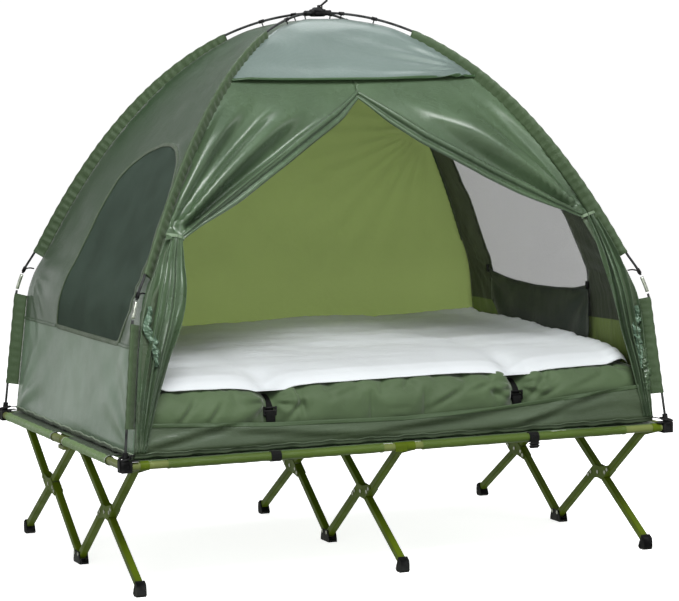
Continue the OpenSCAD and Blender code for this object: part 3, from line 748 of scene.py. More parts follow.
def rear_relief(w, t):
    a = edge_share("rear", w, t)
    p = np.stack([w, t], axis=-1)
    total = 0.006 * ripple(p, 0.6, 21) + 0.0012 * ripple(p, 0.2, 22)
    # long creases drawn in from the upper right seam
    at = (float(half_width("rear", t_at(1.38))), float(t_at(1.42)))
    total = total + pulls(w, t, at, 0.55, 26, 0.010, 0.6) * smooth(w, -0.2, 0.3)
    total = total + pulls(w, t, (-at[0], at[1]), 0.45, 20, 0.006, 1.6)
    return total * (1 - smooth(a, 0.9, 1.0)) * smooth(t, 0, 0.03)


def rear_wall():
    wall, area = wall_piece("rear_cloth", "rear", gore_outline("rear"), [], rear_relief, [REAR_OUT, REAR_IN_PAINTED_LIGHT])
    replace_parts(wall, "rear_wall")
    extent(gore_outline("rear"))


# ---------------------------------------------------------------- front of the shelter
ROOF_Z = 1.600
PEAK = (0.003, 1.567)
LEFT_TIE = (-0.700, 1.117)
RIGHT_TIE = (0.728, 1.137)
LEFT_EDGE = [(-0.082, 1.506), (-0.319, 1.357), (-0.569, 1.200)]
RIGHT_EDGE = [(0.209, 1.422), (0.416, 1.295), (0.632, 1.177)]
SILL_TOP = [(-0.87, 0.540), (-0.44, 0.518), (0.0, 0.509), (0.34, 0.519), (0.56, 0.535), (0.857, 0.560)]


def wz(points):
    """(along, height) points as (along, up the seam)."""
    return np.array([(x, float(t_at(z))) for x, z in points])


def roof_relief(w, t):
    a = edge_share("front", w, t)
    base = float(t_at(ROOF_Z))
    p = np.stack([w, t], axis=-1)
    total = 0.004 + 0.009 * smooth(base + 0.10 - t, 0, 0.1)
    total = total + 0.002 * ripple(p * [1, 2.0], 0.3, 31)
    right = (float(half_width("front", base)), base + 0.03)
    total = total + pulls(w, t, right, 0.32, 24, 0.009, 0.4)
    return total * (1 - 0.75 * smooth(a, 0.85, 1.0))


def roof_panel():
    outline = gore_outline("front", float(t_at(ROOF_Z)))
    panel, area = wall_piece("roof_cloth_front", "front", outline, [], roof_relief, [ROOF_SHEEN_PAINTED, TENT_IN], step=0.011)
    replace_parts(panel, "front_roof_panel")
    t = float(t_at(ROOF_Z))
    half = float(half_width("front", t))
    ribbon_on_wall("roof_hem", "front", [(-half, t + 0.004), (half, t + 0.004)], 0.012, 0.0022, [TENT], roof_relief)


def fan(name, node, side_sign, tie, edge, seed):
    """Upper door cloth, gathered from the roof edge and the corner seam down to its tie."""
    tie_t = np.array([tie[0], float(t_at(tie[1]))])
    edge_line = evenly(wz([tie] + edge[::-1] + [PEAK]), 0.01)
    seam_ts = np.arange(float(t_at(tie[1] - 0.02)), float(t_at(ROOF_Z + 0.03)), 0.012)
    seam = np.array([(side_sign * half_width("front", t), t) for t in seam_ts])
    outline = np.vstack([edge_line, [[edge_line[-1][0], seam_ts[-1]]], seam[::-1]])

    def share(w, t):
        x, y = w - tie_t[0], t - tie_t[1]
        r = np.maximum(np.hypot(x, y), 1e-4)
        angle = np.arctan2(y, x * -side_sign)

        def along(line):
            v = line - tie_t
            rr = np.hypot(v[:, 0], v[:, 1])
            aa = np.arctan2(v[:, 1], v[:, 0] * -side_sign)
            order = np.argsort(rr)
            return np.interp(r, rr[order], aa[order])
        low, high = along(edge_line[1:]), along(seam[seam[:, 1] > tie_t[1] + 0.02])
        return np.clip((angle - low) / np.maximum(high - low, 1e-3), 0, 1), r

    def push(w, t):
        q, r = share(w, t)
        count, tall = (2.2, 0.036) if side_sign < 0 else (1.7, 0.022)
        wide = 2 * smooth(np.sin(2 * math.pi * (count * q ** 0.8 + 0.08 + seed * 0.11 + 0.25 * r)), -1, 1) - 1
        fine = np.sin(2 * math.pi * (6.3 * q + 0.3 + seed * 0.2))
        size = smooth(r, 0.0, 0.10) * (1 - smooth(r, 0.36, 0.80)) * (1.25 - 0.75 * q)
        total = tall * wide * size + 0.009 * fine * smooth(r, 0, 0.04) * np.exp(-r / 0.22)
        total = total + 0.012 * smooth(q, 0.0, 0.25) * (1 - smooth(q, 0.6, 1.0)) * smooth(r, 0.02, 0.3)
        p = np.stack([w, t], axis=-1)
        total = total + 0.002 * ripple(p, 0.25, 40 + seed)
        under = float(t_at(ROOF_Z))
        return total * (1 - smooth(q, 0.90, 1.0)) * (1 - smooth(t, under - 0.26, under - 0.015)) - 0.003

    obj, area = wall_piece(name, "front", outline, [], push, [DOOR, TENT_IN], step=0.010)
    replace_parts(obj, node)
    door_edge(f"{name}_edge", edge_line, side_sign, push)
    return obj


EDGE_PROFILE = [(-10, 3), (-4, 8), (3, 10), (9, 6), (11, 0), (9, -6), (13, -10), (20, -9), (26, -5), (32, -7), (36, -13)]


def door_edge(name, line, side_sign, push):
    """Rolled zip edge of the door, running from the tie to the peak."""
    n = len(line)
    d = np.gradient(line, axis=0)
    d /= np.linalg.norm(d, axis=1)[:, None]
    into = np.stack([d[:, 1], -d[:, 0]], axis=1) * (1 if side_sign < 0 else -1)
    at = np.linspace(0, 1, n)
    size = 0.35 + 0.65 * smooth(at, 0, 0.3) * (1 - smooth(at, 0.8, 1.0) * 0.7)
    rows = []
    for a, h in EDGE_PROFILE:
        q = line + into * (a / 1000 * size)[:, None]
        lift = h / 1000 * size + push(line[:, 0], line[:, 1]) * 0.6
        rows.append(on_wall("front", q[:, 0], q[:, 1], lift))
    obj = grid_object(name, np.stack(rows, axis=1), [DOOR], "shelter", thickness=0.001)
    return obj


SILL_FOLDS = ((-0.70, 0.062, 0.22, 0.010, 0.34), (-0.30, 0.040, -0.10, 0.009, 0.40), (0.12, 0.052, 0.10, 0.010, 0.36),
              (0.55, 0.060, 0.28, 0.011, 0.30), (-0.50, 0.020, 0.05, 0.006, 0.30), (0.36, 0.022, 0.12, 0.007, 0.34))


def sill_relief(w, t):
    p = np.stack([w, t], axis=-1)
    total = 0.010 * smooth(t, 0.0, 0.07) * (0.6 + 0.4 * np.cos(w * 5 + 0.4)) + 0.0030 * ripple(p * [1, 2.5], 0.20, 51) * smooth(t, 0, 0.05)
    for w0, t0, lean, depth, reach in SILL_FOLDS:
        across = t - t0 - (w - w0) * lean
        total = total + depth * bell(w, w0, reach) * (np.exp(-((across / 0.011) ** 2)) - 0.7 * np.exp(-(((across + 0.020) / 0.013) ** 2))) * smooth(t, 0.0, 0.02)
    return total * (1 - smooth(t, 0.13, 0.2)) + 0.003


def sill():
    half = float(half_width("front", 0))
    top = wz(SILL_TOP)
    strip = 0.042
    outer, inner_edge = [], []
    for z in np.arange(0.56, 1.12, 0.02):
        t = float(t_at(z))
        h = float(half_width("front", t))
        outer.append((h, t))
        inner_edge.append((h - strip, t))
    right = [(half, 0.0)] + outer + [(outer[-1][0] - 0.02, outer[-1][1])] + inner_edge[::-1]
    left = [(-w, t) for w, t in right]
    outline = np.array([(-half, 0.0)] + right[0:] + [tuple(p) for p in top[::-1]] + left[::-1][:-1])
    obj, area = wall_piece("sill_cloth", "front", outline, [], sill_relief, [SILL_SHADED, TENT_IN], step=0.011)
    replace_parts(obj, "front_sill")
    ribbon_on_wall("sill_zip", "front", top, 0.014, 0.002, [SLEEVE], sill_relief)


def front():
    roof_panel()
    fan("left_door_cloth", "left_curtain", -1, LEFT_TIE, LEFT_EDGE, 1)
    fan("right_door_cloth", "right_curtain", 1, RIGHT_TIE, RIGHT_EDGE, 2)
    sill()


side_walls()
rear_wall()
front()

# ---------------------------------------------------------------- poles
def pole_span(z0, z1, extra=0.0):
    """Part of the pole line between two heights, [s, z]."""
    line = evenly(pole_line, 0.006)
    keep = (line[:, 1] >= z0) & (line[:, 1] <= z1)
    return line[keep]


def lift_line(line, corner, off=0.0):
    return np.array([in_corner(s, z, off, corner) for s, z in line])


def heading_of(line):
    d = np.gradient(line, axis=0)
    return d / np.linalg.norm(d, axis=1)[:, None]


def sleeve_shell(line, corner, wave, seed, width=None):
    """Cloth sleeve: two layers sewn at the corner seam and wrapped round the pole, gathered along it."""
    d = heading_of(line)
    inward = np.stack([-d[:, 1], d[:, 0]], axis=1)
    inward *= np.where(inward[:, 0] > 0, -1, 1)[:, None]
    run = np.concatenate([[0], np.cumsum(np.linalg.norm(np.diff(line, axis=0), axis=1))])
    rng = np.random.default_rng(seed)
    phase = np.cumsum(rng.uniform(0.6, 1.5, len(line))) * 0.006
    gather = np.sin(2 * math.pi * phase / 0.030) * wave
    reach = np.array([np.interp(z, SEAM_Z, SEAM_S) for z in line[:, 1]])
    flat_reach = np.abs(line[:, 0] - reach)
    high = line[:, 1] > 1.3
    gap = np.where(high, np.minimum(flat_reach, 0.046), flat_reach) - 0.001
    gap = np.minimum(gap, width or 1)
    radius = 0.0062 + 0.0008 * np.sin(2 * math.pi * phase / 0.047)
    rows = []
    inner = [(1.0, 0.0006), (0.75, 0.0016), (0.5, 0.0030), (0.28, 0.0048)]
    for share, off in inner:
        rows.append((share, off, None))
    for angle in (60, 20, -20, -60):
        rows.append((None, None, angle))
    for share, off in inner[::-1]:
        rows.append((share, -off, None))
    points = []
    for share, off, angle in rows:
        if angle is None:
            q = line + inward * (gap * share)[:, None]
            o = off + gather * (1 - share) * 1.2 * (1 if off > 0 else 1) + gather * 0.6
        else:
            a = math.radians(angle)
            q = line - inward * (radius * math.cos(a))[:, None]
            o = radius * math.sin(a)
        o = np.broadcast_to(o, (len(line),))
        points.append(np.array([in_corner(s, z, k, corner) for (s, z), k in zip(q, o)]))
    return np.stack(points, axis=1)


def cross_pole(name, s, z, corner, mats):
    """Small hook between the seam and the pole."""
    d = np.array([in_corner(s - 0.036, z, 0, corner), in_corner(s - 0.020, z + 0.003, 0, corner),
                  in_corner(s - 0.006, z, 0, corner)])
    return tube(name, softened(evenly(d, 0.003), 4), 0.0026, mats, "shelter", 10)


def poles():
    for label, corner in CORNERS.items():
        low = lift_line(pole_span(0.4445, 0.872), corner)
        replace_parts(tube(f"pole_low_{label}", low, 0.0042, ROD, "shelter"), "lower_poles")
        ferrule = tube(f"pole_sleeve_tube_{label}", lift_line(pole_span(0.870, 0.930), corner), 0.0062, ROD_PALE, "shelter", 18)
        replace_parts(ferrule, "pole_ferrules")
        top = lift_line(pole_span(0.928, arch_z(0.040)), corner)
        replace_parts(tube(f"pole_arch_{label}", top, 0.0042, ROD, "shelter"), "upper_poles")
        ring_z = 0.944
        line = pole_span(ring_z - 0.010, ring_z + 0.010)
        tube(f"pole_ring_{label}", lift_line(line, corner), 0.0066, BLACK, "shelter", 16)
        at = line[len(line) // 2]
        hook = cross_pole(f"pole_hook_{label}", at[0], at[1], corner, BLACK)
        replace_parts(hook, "pole_fittings")
        for part, z0, z1, wave in (("low", 0.535, 0.862, 0.0006), ("high", 1.004, 1.760, 0.0016)):
            grid = sleeve_shell(pole_span(z0, z1), corner, wave, len(label) + int(z0 * 10))
            shell = grid_object(f"sleeve_{part}_{label}", grid, [SLEEVE], "shelter", thickness=0.0, closed_v=True)
            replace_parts(shell, "pole_sleeves")
        # links that hang the crown of the shelter from the bare end of the pole
        for k, s in enumerate((0.085, 0.20)):
            z_pole = arch_z(s)
            drop = in_corner(s, z_pole - 0.002, 0, corner), in_corner(s - 0.010, z_pole - 0.030, 0, corner)
            tube(f"crown_link_{label}_{k}", evenly(drop, 0.004), 0.0022, BLACK, "shelter", 8)
            tube(f"crown_clip_{label}_{k}", lift_line([(s + 0.009, arch_z(s + 0.009)), (s - 0.009, arch_z(s - 0.009))], corner),
                 0.0062, BLACK, "shelter", 12)
        web = [in_corner(DIAG - 0.050, 0.4535, 0, corner), in_corner(DIAG - 0.030, 0.4515, 0, corner), in_corner(DIAG - 0.017, 0.449, 0, corner)]
        flat_strap(f"corner_web_{label}", softened(evenly(web, 0.004), 3), 0.014, 0.0018, WEB, "shelter")


def flat_strap(name, path, width, thickness, mats, body, up=(0, 0, 1)):
    """Flat webbing along a line, its face across up."""
    p = np.asarray(path, float)
    d = np.gradient(p, axis=0)
    d /= np.linalg.norm(d, axis=1)[:, None]
    side = np.cross(d, np.asarray(up, float))
    side /= np.linalg.norm(side, axis=1)[:, None]
    rows = [p + side * width * k for k in (-0.5, -0.44, 0, 0.44, 0.5)]
    obj = grid_object(name, np.stack(rows, axis=1), [mats], body, thickness=thickness)
    return obj


poles()
# ---------------------------------------------------------------- CAD pieces that stay
CAD_LOOKS = {
    OLIVE: [
        "front_outer_lower_legs", "front_outer_upper_legs", "front_crossing_plates", "front_inner_legs",
        "rear_outer_lower_legs", "rear_outer_upper_legs", "rear_crossing_plates", "rear_inner_legs",
        "front_leg_brackets", "rear_leg_brackets", "front_centre_brackets", "rear_centre_brackets",
        "front_rail_hinge", "rear_rail_hinge",
    ],
    PALE: [
        "front_rail_left", "front_rail_right", "rear_rail_left", "rear_rail_right", "front_centre_rail",
        "rear_centre_rail", "left_end_bar", "right_end_bar", "left_bar_joint", "right_bar_joint",
    ],
    BLACK: ["centre_feet", "front_rail_plugs", "rear_rail_plugs", "corner_caps"],
    RUBBER: ["front_feet", "rear_feet"],
    RIVET: ["centre_foot_pins", "front_crossing_rivets", "rear_crossing_rivets"],
}
ROUNDED = {"corner_caps": 0.0025, "front_feet": 0.003, "rear_feet": 0.003, "centre_feet": 0.0012,
           "front_crossing_plates": 0.0005, "rear_crossing_plates": 0.0005,
           "front_crossing_rivets": 0.0009, "rear_crossing_rivets": 0.0009, "centre_foot_pins": 0.0009}


def dress_cad():
    for mat, names in CAD_LOOKS.items():
        for name in names:
            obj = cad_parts[name]
            obj.data.materials.clear()
            obj.data.materials.append(mat)
    for name, width in ROUNDED.items():
        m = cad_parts[name].modifiers.new("rounded", "BEVEL")
        m.width, m.segments, m.limit_method = width, 2, "ANGLE"
        m.angle_limit = math.radians(35)
        m.harden_normals = False


dress_cad()

# ---------------------------------------------------------------- more shapes
def strip(name, path, across, width, thickness, mats, body, closed=False):
    """Flat band along a line, its width along one fixed direction."""
    p, a = np.asarray(path, float), np.asarray(across, float)
    rows = [p + a * width * k for k in (-0.5, -0.46, -0.3, 0, 0.3, 0.46, 0.5)]
    return grid_object(name, np.stack(rows, axis=1), [mats], body, thickness=thickness, closed_u=closed)


def ring_path(centre, radius, count=40, flat=1.0):
    """Circle in the plane across X."""
    a = np.linspace(0, 2 * math.pi, count, endpoint=False)
    return np.stack([np.full(count, centre[0]), centre[1] + radius * np.cos(a), centre[2] + radius * flat * np.sin(a)], axis=1)


def turned(name, profile, centre, mats, body, sides=56):
    """Revolves a closed profile of (radius, height) about the vertical through a point."""
    prof = np.asarray(profile, float)
    a = np.linspace(0, 2 * math.pi, sides, endpoint=False)
    points = np.stack([
        centre[0] + prof[None, :, 0] * np.cos(a)[:, None],
        centre[1] + prof[None, :, 0] * np.sin(a)[:, None],
        np.broadcast_to(centre[2] + prof[None, :, 1], (sides, len(prof))),
    ], axis=-1)
    return grid_object(name, points, [mats], body, thickness=0.0, closed_u=True)


def rounded_block(low, high, radius, step):
    """Closed quad mesh of a box with rounded edges, about a step apart."""
    low, high = np.asarray(low, float), np.asarray(high, float)
    counts = np.maximum(2, np.round((high - low) / step).astype(int))
    keys, faces = {}, []

    def key(p):
        return keys.setdefault(p, len(keys))

    for axis in range(3):
        b, c = (axis + 1) % 3, (axis + 2) % 3
        for end in (0, int(counts[axis])):
            for i in range(int(counts[b])):
                for j in range(int(counts[c])):
                    quad = []
                    for di, dj in ((0, 0), (1, 0), (1, 1), (0, 1)):
                        at = [0, 0, 0]
                        at[axis], at[b], at[c] = end, i + di, j + dj
                        quad.append(key(tuple(at)))
                    faces.append(tuple(quad if end else quad[::-1]))
    lattice = np.array(list(keys), float)
    p = low + lattice / counts * (high - low)
    core = np.clip(p, low + radius, high - radius)
    away = p - core
    size = np.linalg.norm(away, axis=1)[:, None]
    return np.where(size > 1e-9, core + away / np.maximum(size, 1e-9) * radius, p), faces


# ---------------------------------------------------------------- bedding
MATTRESS_LOW, MATTRESS_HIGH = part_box("mattress")
STRAP_XS = (-0.435, 0.435)
BORDER = 0.046


def strapped(points):
    """Draws the mattress in where its two straps hold it, and fills it out between them."""
    p = np.array(points, float)
    x, y, z = p[:, 0], p[:, 1], p[:, 2]
    near = sum(bell(x, s, 0.034) + 0.35 * bell(x, s, 0.09) for s in STRAP_XS)
    rim = smooth(np.abs(y), 0.44, 0.63)
    upper = smooth(z, 0.50, 0.64)
    p[:, 2] -= near * upper * (0.006 + 0.028 * rim)
    p[:, 1] -= np.sign(y) * near * rim * 0.020 * smooth(z, 0.445, 0.52)
    return p


def inflate(obj, pinned, pressure, reach, frames=20, slack=-0.06):
    """Blows the cloth skin up against its pins and keeps how it settles."""
    rest = np.array([tuple(v.co) for v in obj.data.vertices])
    group = obj.vertex_groups.new(name="pins")
    group.add([int(i) for i in np.nonzero(pinned)[0]], 1.0, "REPLACE")
    m = obj.modifiers.new("cloth", "CLOTH")
    s = m.settings
    s.quality, s.mass = 5, 0.25
    s.tension_stiffness = s.compression_stiffness = 12
    s.shear_stiffness, s.bending_stiffness = 6, 0.25
    s.use_pressure, s.uniform_pressure_force = True, pressure
    s.shrink_min = slack
    s.vertex_group_mass = "pins"
    s.effector_weights.gravity = 0
    m.collision_settings.use_collision = False
    m.point_cache.frame_end = frames
    for f in range(1, frames + 1):
        bpy.context.scene.frame_set(f)
    settled = obj.evaluated_get(bpy.context.evaluated_depsgraph_get()).data
    co = np.array([tuple(v.co) for v in settled.vertices])
    bpy.context.scene.frame_set(1)
    obj.modifiers.remove(m)
    obj.vertex_groups.remove(group)
    move = co - rest
    size = np.linalg.norm(move, axis=1)[:, None]
    co = rest + move * np.minimum(1, reach / np.maximum(size, 1e-9))
    obj.data.vertices.foreach_set("co", co.ravel().astype(np.float32))
    obj.data.update()


# tension folds on the front of the mattress: along, height, lean, length, depth
MATTRESS_FOLDS = (
    (-0.72, 0.570, 0.85, 0.045, 0.009), (-0.63, 0.560, 0.9, 0.040, 0.008), (-0.335, 0.575, 1.75, 0.050, 0.011), (-0.355, 0.555, 0.8, 0.035, 0.009),
    (-0.18, 0.600, 0.25, 0.060, 0.005), (0.02, 0.605, 0.15, 0.060, 0.004), (0.18, 0.565, 0.45, 0.070, 0.008), (0.30, 0.590, 0.25, 0.060, 0.007),
    (0.36, 0.560, -0.5, 0.040, 0.008), (0.50, 0.575, 0.9, 0.045, 0.010), (0.545, 0.560, 0.5, 0.040, 0.008), (0.70, 0.590, 0.3, 0.070, 0.006),
)


def subdivided(obj):
    """One smooth subdivision, applied."""
    m = obj.modifiers.new("finer", "SUBSURF")
    m.levels = m.render_levels = 1
    finer = bpy.data.meshes.new_from_object(obj.evaluated_get(bpy.context.evaluated_depsgraph_get()))
    obj.modifiers.clear()
    obj.data = finer
    finer.polygons.foreach_set("use_smooth", [True] * len(finer.polygons))


def strap_creases(p):
    """Creases drawn towards each strap on the faces of the mattress, as a depth along its outside."""
    x, y, z = p[:, 0], p[:, 1], p[:, 2]
    total = np.zeros(len(p))
    for k, s in enumerate(STRAP_XS):
        for side in (-1, 1):
            dx = (x - s) * side
            r = np.hypot(np.maximum(dx, 0) + 0.012, (z - 0.585) * 1.0)
            angle = np.arctan2(z - 0.585, dx + 0.012)
            size = smooth(dx, 0.016, 0.045) * np.exp(-r / 0.085)
            total += 0.0120 * size * np.sin(angle * 9 + k * 2 + side + 1.2 * np.sin(angle * 4))
    # a few slanting tension folds away from the straps
    for x0, z0, lean, length, depth in MATTRESS_FOLDS:
        along = (x - x0) * math.cos(lean) + (z - z0) * math.sin(lean)
        across = -(x - x0) * math.sin(lean) + (z - z0) * math.cos(lean)
        total -= depth * np.exp(-((along / length) ** 2)) * (np.exp(-((across / 0.008) ** 2)) - 0.8 * np.exp(-(((across - 0.017) / 0.011) ** 2)))
    return total * smooth(np.abs(y), 0.56, 0.63) * smooth(z, 0.47, 0.50)


def within_walls(co, floor):
    """Keeps the mattress above the floor of the shelter and just inside its walls; above the sill the front is open."""
    co[:, 2] = np.maximum(co[:, 2], floor)
    s = np.interp(co[:, 2], SEAM_Z, SEAM_S)
    co[:, 0] = np.clip(co[:, 0], -s * DX + 0.022, s * DX - 0.022)
    front = np.where(co[:, 2] < 0.545, s * DY - 0.010, 1.0)
    co[:, 1] = np.clip(co[:, 1], -front, s * DY - 0.020)


def mattress():
    low, high = np.array(MATTRESS_LOW), np.array(MATTRESS_HIGH)
    verts, faces = rounded_block(low - [0.012, -0.006, 0.0], high + [0.012, -0.006, 0.0], BORDER, 0.0125)
    verts = strapped(verts)
    body = make_object("mattress_body", verts, faces, [FLOCK], "shelter")
    x, y, z = verts.T
    top = (z > high[2] - 0.045) & (np.abs(y) < 0.575) & (np.abs(x) < 0.80)
    rings = np.zeros(len(verts), bool)
    for s in STRAP_XS:
        rings |= np.abs(x - s) < 0.019
    inflate(body, top | rings | (z < low[2] + 0.012), 4.0, 0.026)
    subdivided(body)
    co = np.array([tuple(v.co) for v in body.data.vertices])
    normals = np.array([tuple(v.normal) for v in body.data.vertices])
    depth = strap_creases(co) + 0.0022 * ripple(co * [1, 0.6, 1.6], 0.16, 61) * smooth(np.abs(co[:, 1]), 0.56, 0.63)
    co += normals * depth[:, None]
    within_walls(co, low[2])
    body.data.vertices.foreach_set("co", co.ravel().astype(np.float32))
    body.data.update()
    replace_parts(body, "mattress")


def strap_line(x):
    """Line of a strap over the front border of the mattress."""
    low, high = MATTRESS_LOW, MATTRESS_HIGH
    y0, r = low.y + 0.006, BORDER
    pts = [(x, y, high.z) for y in np.linspace(y0 + 0.055, y0 + r, 3)]
    pts += [(x, y0 + r - r * math.sin(a), high.z - r + r * math.cos(a)) for a in np.linspace(0.2, math.pi / 2, 10)]
    pts += [(x, y0, z) for z in np.linspace(high.z - r - 0.01, low.z + 0.035, 12)]
    p = strapped(np.array(pts))
    d = np.gradient(p, axis=0)
    d /= np.linalg.norm(d, axis=1)[:, None]
    out = np.stack([np.zeros(len(p)), d[:, 2], -d[:, 1]], axis=1)
    return softened(evenly(p + out * 0.0022, 0.006), 2)


def mattress_straps():
    for label, x in zip(("left", "right"), STRAP_XS):
        line = strap_line(x)
        web = strip(f"mattress_strap_{label}", line, (1, 0, 0), 0.032, 0.0022, WEB, "shelter")
        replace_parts(web, "mattress_straps")
        y = float(np.interp(-0.553, -line[:, 2], line[:, 1]))
        for part, dz, tall, wide, deep in (("bar", 0.0, 0.006, 0.043, 0.009), ("frame_top", 0.011, 0.005, 0.043, 0.007),
                                           ("frame_low", -0.011, 0.006, 0.045, 0.008)):
            v, f = rounded_block((x - wide / 2, y - 0.002 - deep, 0.553 + dz - tall / 2), (x + wide / 2, y - 0.002, 0.553 + dz + tall / 2),
                                 0.0022, 0.002)
            make_object(f"strap_buckle_{part}_{label}", v, f, [BLACK], "shelter")
        for side in (-1, 1):
            v, f = rounded_block((x + side * 0.020 - 0.003, y - 0.010, 0.538), (x + side * 0.020 + 0.003, y - 0.003, 0.568), 0.0022, 0.002)
            make_object(f"strap_buckle_side_{label}_{'a' if side < 0 else 'b'}", v, f, [BLACK], "shelter")
        tail = [(x, y - 0.004, 0.556), (x, y - 0.011, 0.550), (x, y - 0.013, 0.534), (x, y - 0.011, 0.515), (x, y - 0.014, 0.500)]
        loose = strip(f"strap_tail_{label}", softened(evenly(tail, 0.003), 6), (1, 0, 0), 0.030, 0.0016, WEB, "shelter")


SHEET_LOW, SHEET_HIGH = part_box("bed_sheet")


def sheet_height(x, y):
    z = np.interp(y, [-0.66, -0.624, -0.60, -0.56, -0.45, -0.25, 0.2, 0.54, 0.64], [0.6225, 0.634, 0.652, 0.668, 0.681, 0.692, 0.704, 0.714, 0.712])
    front = smooth(-y, 0.40, 0.61)
    dips = sum(bell(x, s, 0.040) + 0.4 * bell(x, s, 0.10) for s in STRAP_XS)
    return z - dips * (0.005 + 0.024 * front)


def bed_sheet():
    """Fitted sheet: slack over the middle, drawn in by elastic round its edge."""
    nx, ny = 176, 132
    u = np.linspace(-1, 1, nx)[:, None] * np.ones((1, ny))
    v = np.linspace(-1, 1, ny)[None, :] * np.ones((nx, 1))
    hx, hy = SHEET_HIGH.x + 0.024, SHEET_HIGH.y + 0.002
    x, y = u * hx, v * hy
    # corners rounded in plan
    edge_x, edge_y = hx - np.abs(x), hy - np.abs(y)
    corner = np.clip(1 - edge_x / 0.10, 0, 1) * np.clip(1 - edge_y / 0.10, 0, 1)
    x, y = x * (1 - 0.016 * corner), y * (1 - 0.020 * corner)
    z = sheet_height(x, y)
    p = np.stack([x, y * 3.2], axis=-1).reshape(-1, 2)
    long_folds = ripple(p, 0.55, 71).reshape(nx, ny)
    soft = ripple(np.stack([x, y * 1.6], -1).reshape(-1, 2), 0.16, 72).reshape(nx, ny)
    calm = 0.35 + 0.65 * smooth(y, -0.55, 0.1)
    crinkle = ripple(np.stack([x + 0.5 * y, y * 2.2 - 0.4 * x], -1).reshape(-1, 2), 0.075, 73).reshape(nx, ny)
    z = z + 0.0058 * (2 * smooth(long_folds, -1, 1) - 1) * calm + (0.0020 * soft + 0.0011 * crinkle) * calm
    # puffed rim along the rear and the two ends
    rear, ends = hy - y, hx - np.abs(x)
    rim = np.maximum(bell(rear, 0.040, 0.032), bell(ends, 0.045, 0.034))
    where = np.where(rear < ends, x, y)
    gathers = np.sin(2 * math.pi * (where / 0.047 + 0.35 * np.sin(where * 31))) * 0.5 + 0.5
    z = z + rim * (0.010 + np.where(rear < ends, 0.0015, 0.005) * gathers)
    for away, drop in ((rear, 0.060), (ends, 0.066)):
        k = np.clip(1 - away / 0.040, 0, 1)
        z = z - drop * (1 - np.sqrt(np.maximum(1 - k * k * 0.98, 0)))
    z = z + 0.0016 * gathers * (np.minimum(rear, ends) < 0.03)
    z = np.maximum(z, 0.618)
    obj = grid_object("bed_sheet_cloth", np.stack([x, y, z], axis=-1), [COTTON], "shelter", thickness=0.0016, offset=1.0)
    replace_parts(obj, "bed_sheet")


mattress()
mattress_straps()
bed_sheet()
# ---------------------------------------------------------------- tied back door cloth below the ties
LEFT_HANG = {
    "inner": [(-0.700, 1.117), (-0.706, 1.06), (-0.712, 0.98), (-0.722, 0.90), (-0.752, 0.80), (-0.790, 0.70), (-0.824, 0.609), (-0.850, 0.531), (-0.872, 0.458)],
    "outer": [(-0.752, 1.117), (-0.798, 1.04), (-0.840, 0.95), (-0.862, 0.87), (-0.874, 0.79), (-0.884, 0.70), (-0.893, 0.62), (-0.900, 0.54), (-0.906, 0.458)],
}
RIGHT_HANG = {
    "inner": [(0.728, 1.137), (0.742, 1.08), (0.754, 1.02), (0.762, 0.93), (0.773, 0.85), (0.798, 0.76), (0.824, 0.679), (0.850, 0.560), (0.874, 0.458)],
    "outer": [(0.768, 1.137), (0.800, 1.06), (0.838, 0.96), (0.862, 0.88), (0.874, 0.80), (0.884, 0.70), (0.893, 0.62), (0.900, 0.54), (0.906, 0.458)],
}


def hanging(name, lines, seed, folds, depth):
    """Door cloth gathered at its tie and hanging in pleats to the corner."""
    n, m = 150, 118
    v = np.linspace(0, 1, n)
    inner = evenly(wz(lines["inner"]), 0.004)
    outer = evenly(wz(lines["outer"]), 0.004)
    inner, outer = softened(inner, 30), softened(outer, 30)
    pick = lambda line: np.stack([np.interp(v * (len(line) - 1), range(len(line)), line[:, i]) for i in (0, 1)], axis=1)
    inner, outer = pick(inner), pick(outer)
    u = np.linspace(0, 1, m)
    U, V = np.meshgrid(u, v)
    U, V = U.T, V.T
    bend = 0.10 * np.sin(2 * math.pi * (1.3 * U + seed * 0.37)) + 0.05 * np.sin(2 * math.pi * (2.7 * U + 0.6 * V + seed))
    turn = 2 * math.pi * (folds * U + bend * folds * 0.35 + 0.22 * np.sin(V * 5 + seed))
    broad = np.interp(U, [0, 0.3, 0.55, 0.8, 1.0], [0.7, 1.5, 0.55, 1.2, 0.6])
    wave = (np.sin(turn) + 0.30 * np.sin(2.3 * turn + 1.1 + seed + 2.0 * V)) * broad
    belly = smooth(V, 0.0, 0.28) * (1 - 0.65 * smooth(V, 0.62, 1.0))
    across = U + 0.55 / folds * np.cos(turn) / 2 * (0.3 + 0.7 * belly)
    w = inner[:, 0] + (outer - inner)[:, 0] * across
    t = inner[:, 1] + (outer - inner)[:, 1] * across
    push = depth * wave * (0.35 + 0.65 * belly) + 0.010 + 0.004 * ripple(np.stack([U * 0.3, V], -1).reshape(-1, 2), 0.25, seed).reshape(U.shape)
    t = np.maximum(t, 0.008)
    points = on_wall("front", w.ravel(), t.ravel(), push.ravel()).reshape(U.shape + (3,))
    obj = grid_object(name, points, [DOOR], "shelter", thickness=0.0012)
    return obj


def tie_band(name, at, side_sign, half, deep, tilt):
    """Cloth tab buttoned round the gathered door."""
    a = np.linspace(0, 2 * math.pi, 48, endpoint=False)
    centre = np.array([at[0], float(t_at(at[1]))])
    w = centre[0] + half * np.cos(a)
    lift = deep * np.sign(np.sin(a)) * np.abs(np.sin(a)) ** 0.8
    rows = []
    for k in (-0.5, -0.45, -0.25, 0, 0.25, 0.45, 0.5):
        t = centre[1] + 0.011 * k + tilt * np.cos(a) * half
        rows.append(on_wall("front", w, t, lift + 0.0006 * math.cos(k * 9)))
    obj = grid_object(name, np.stack(rows, axis=1), [PIPING_GREEN], "shelter", thickness=0.0016, closed_u=True)


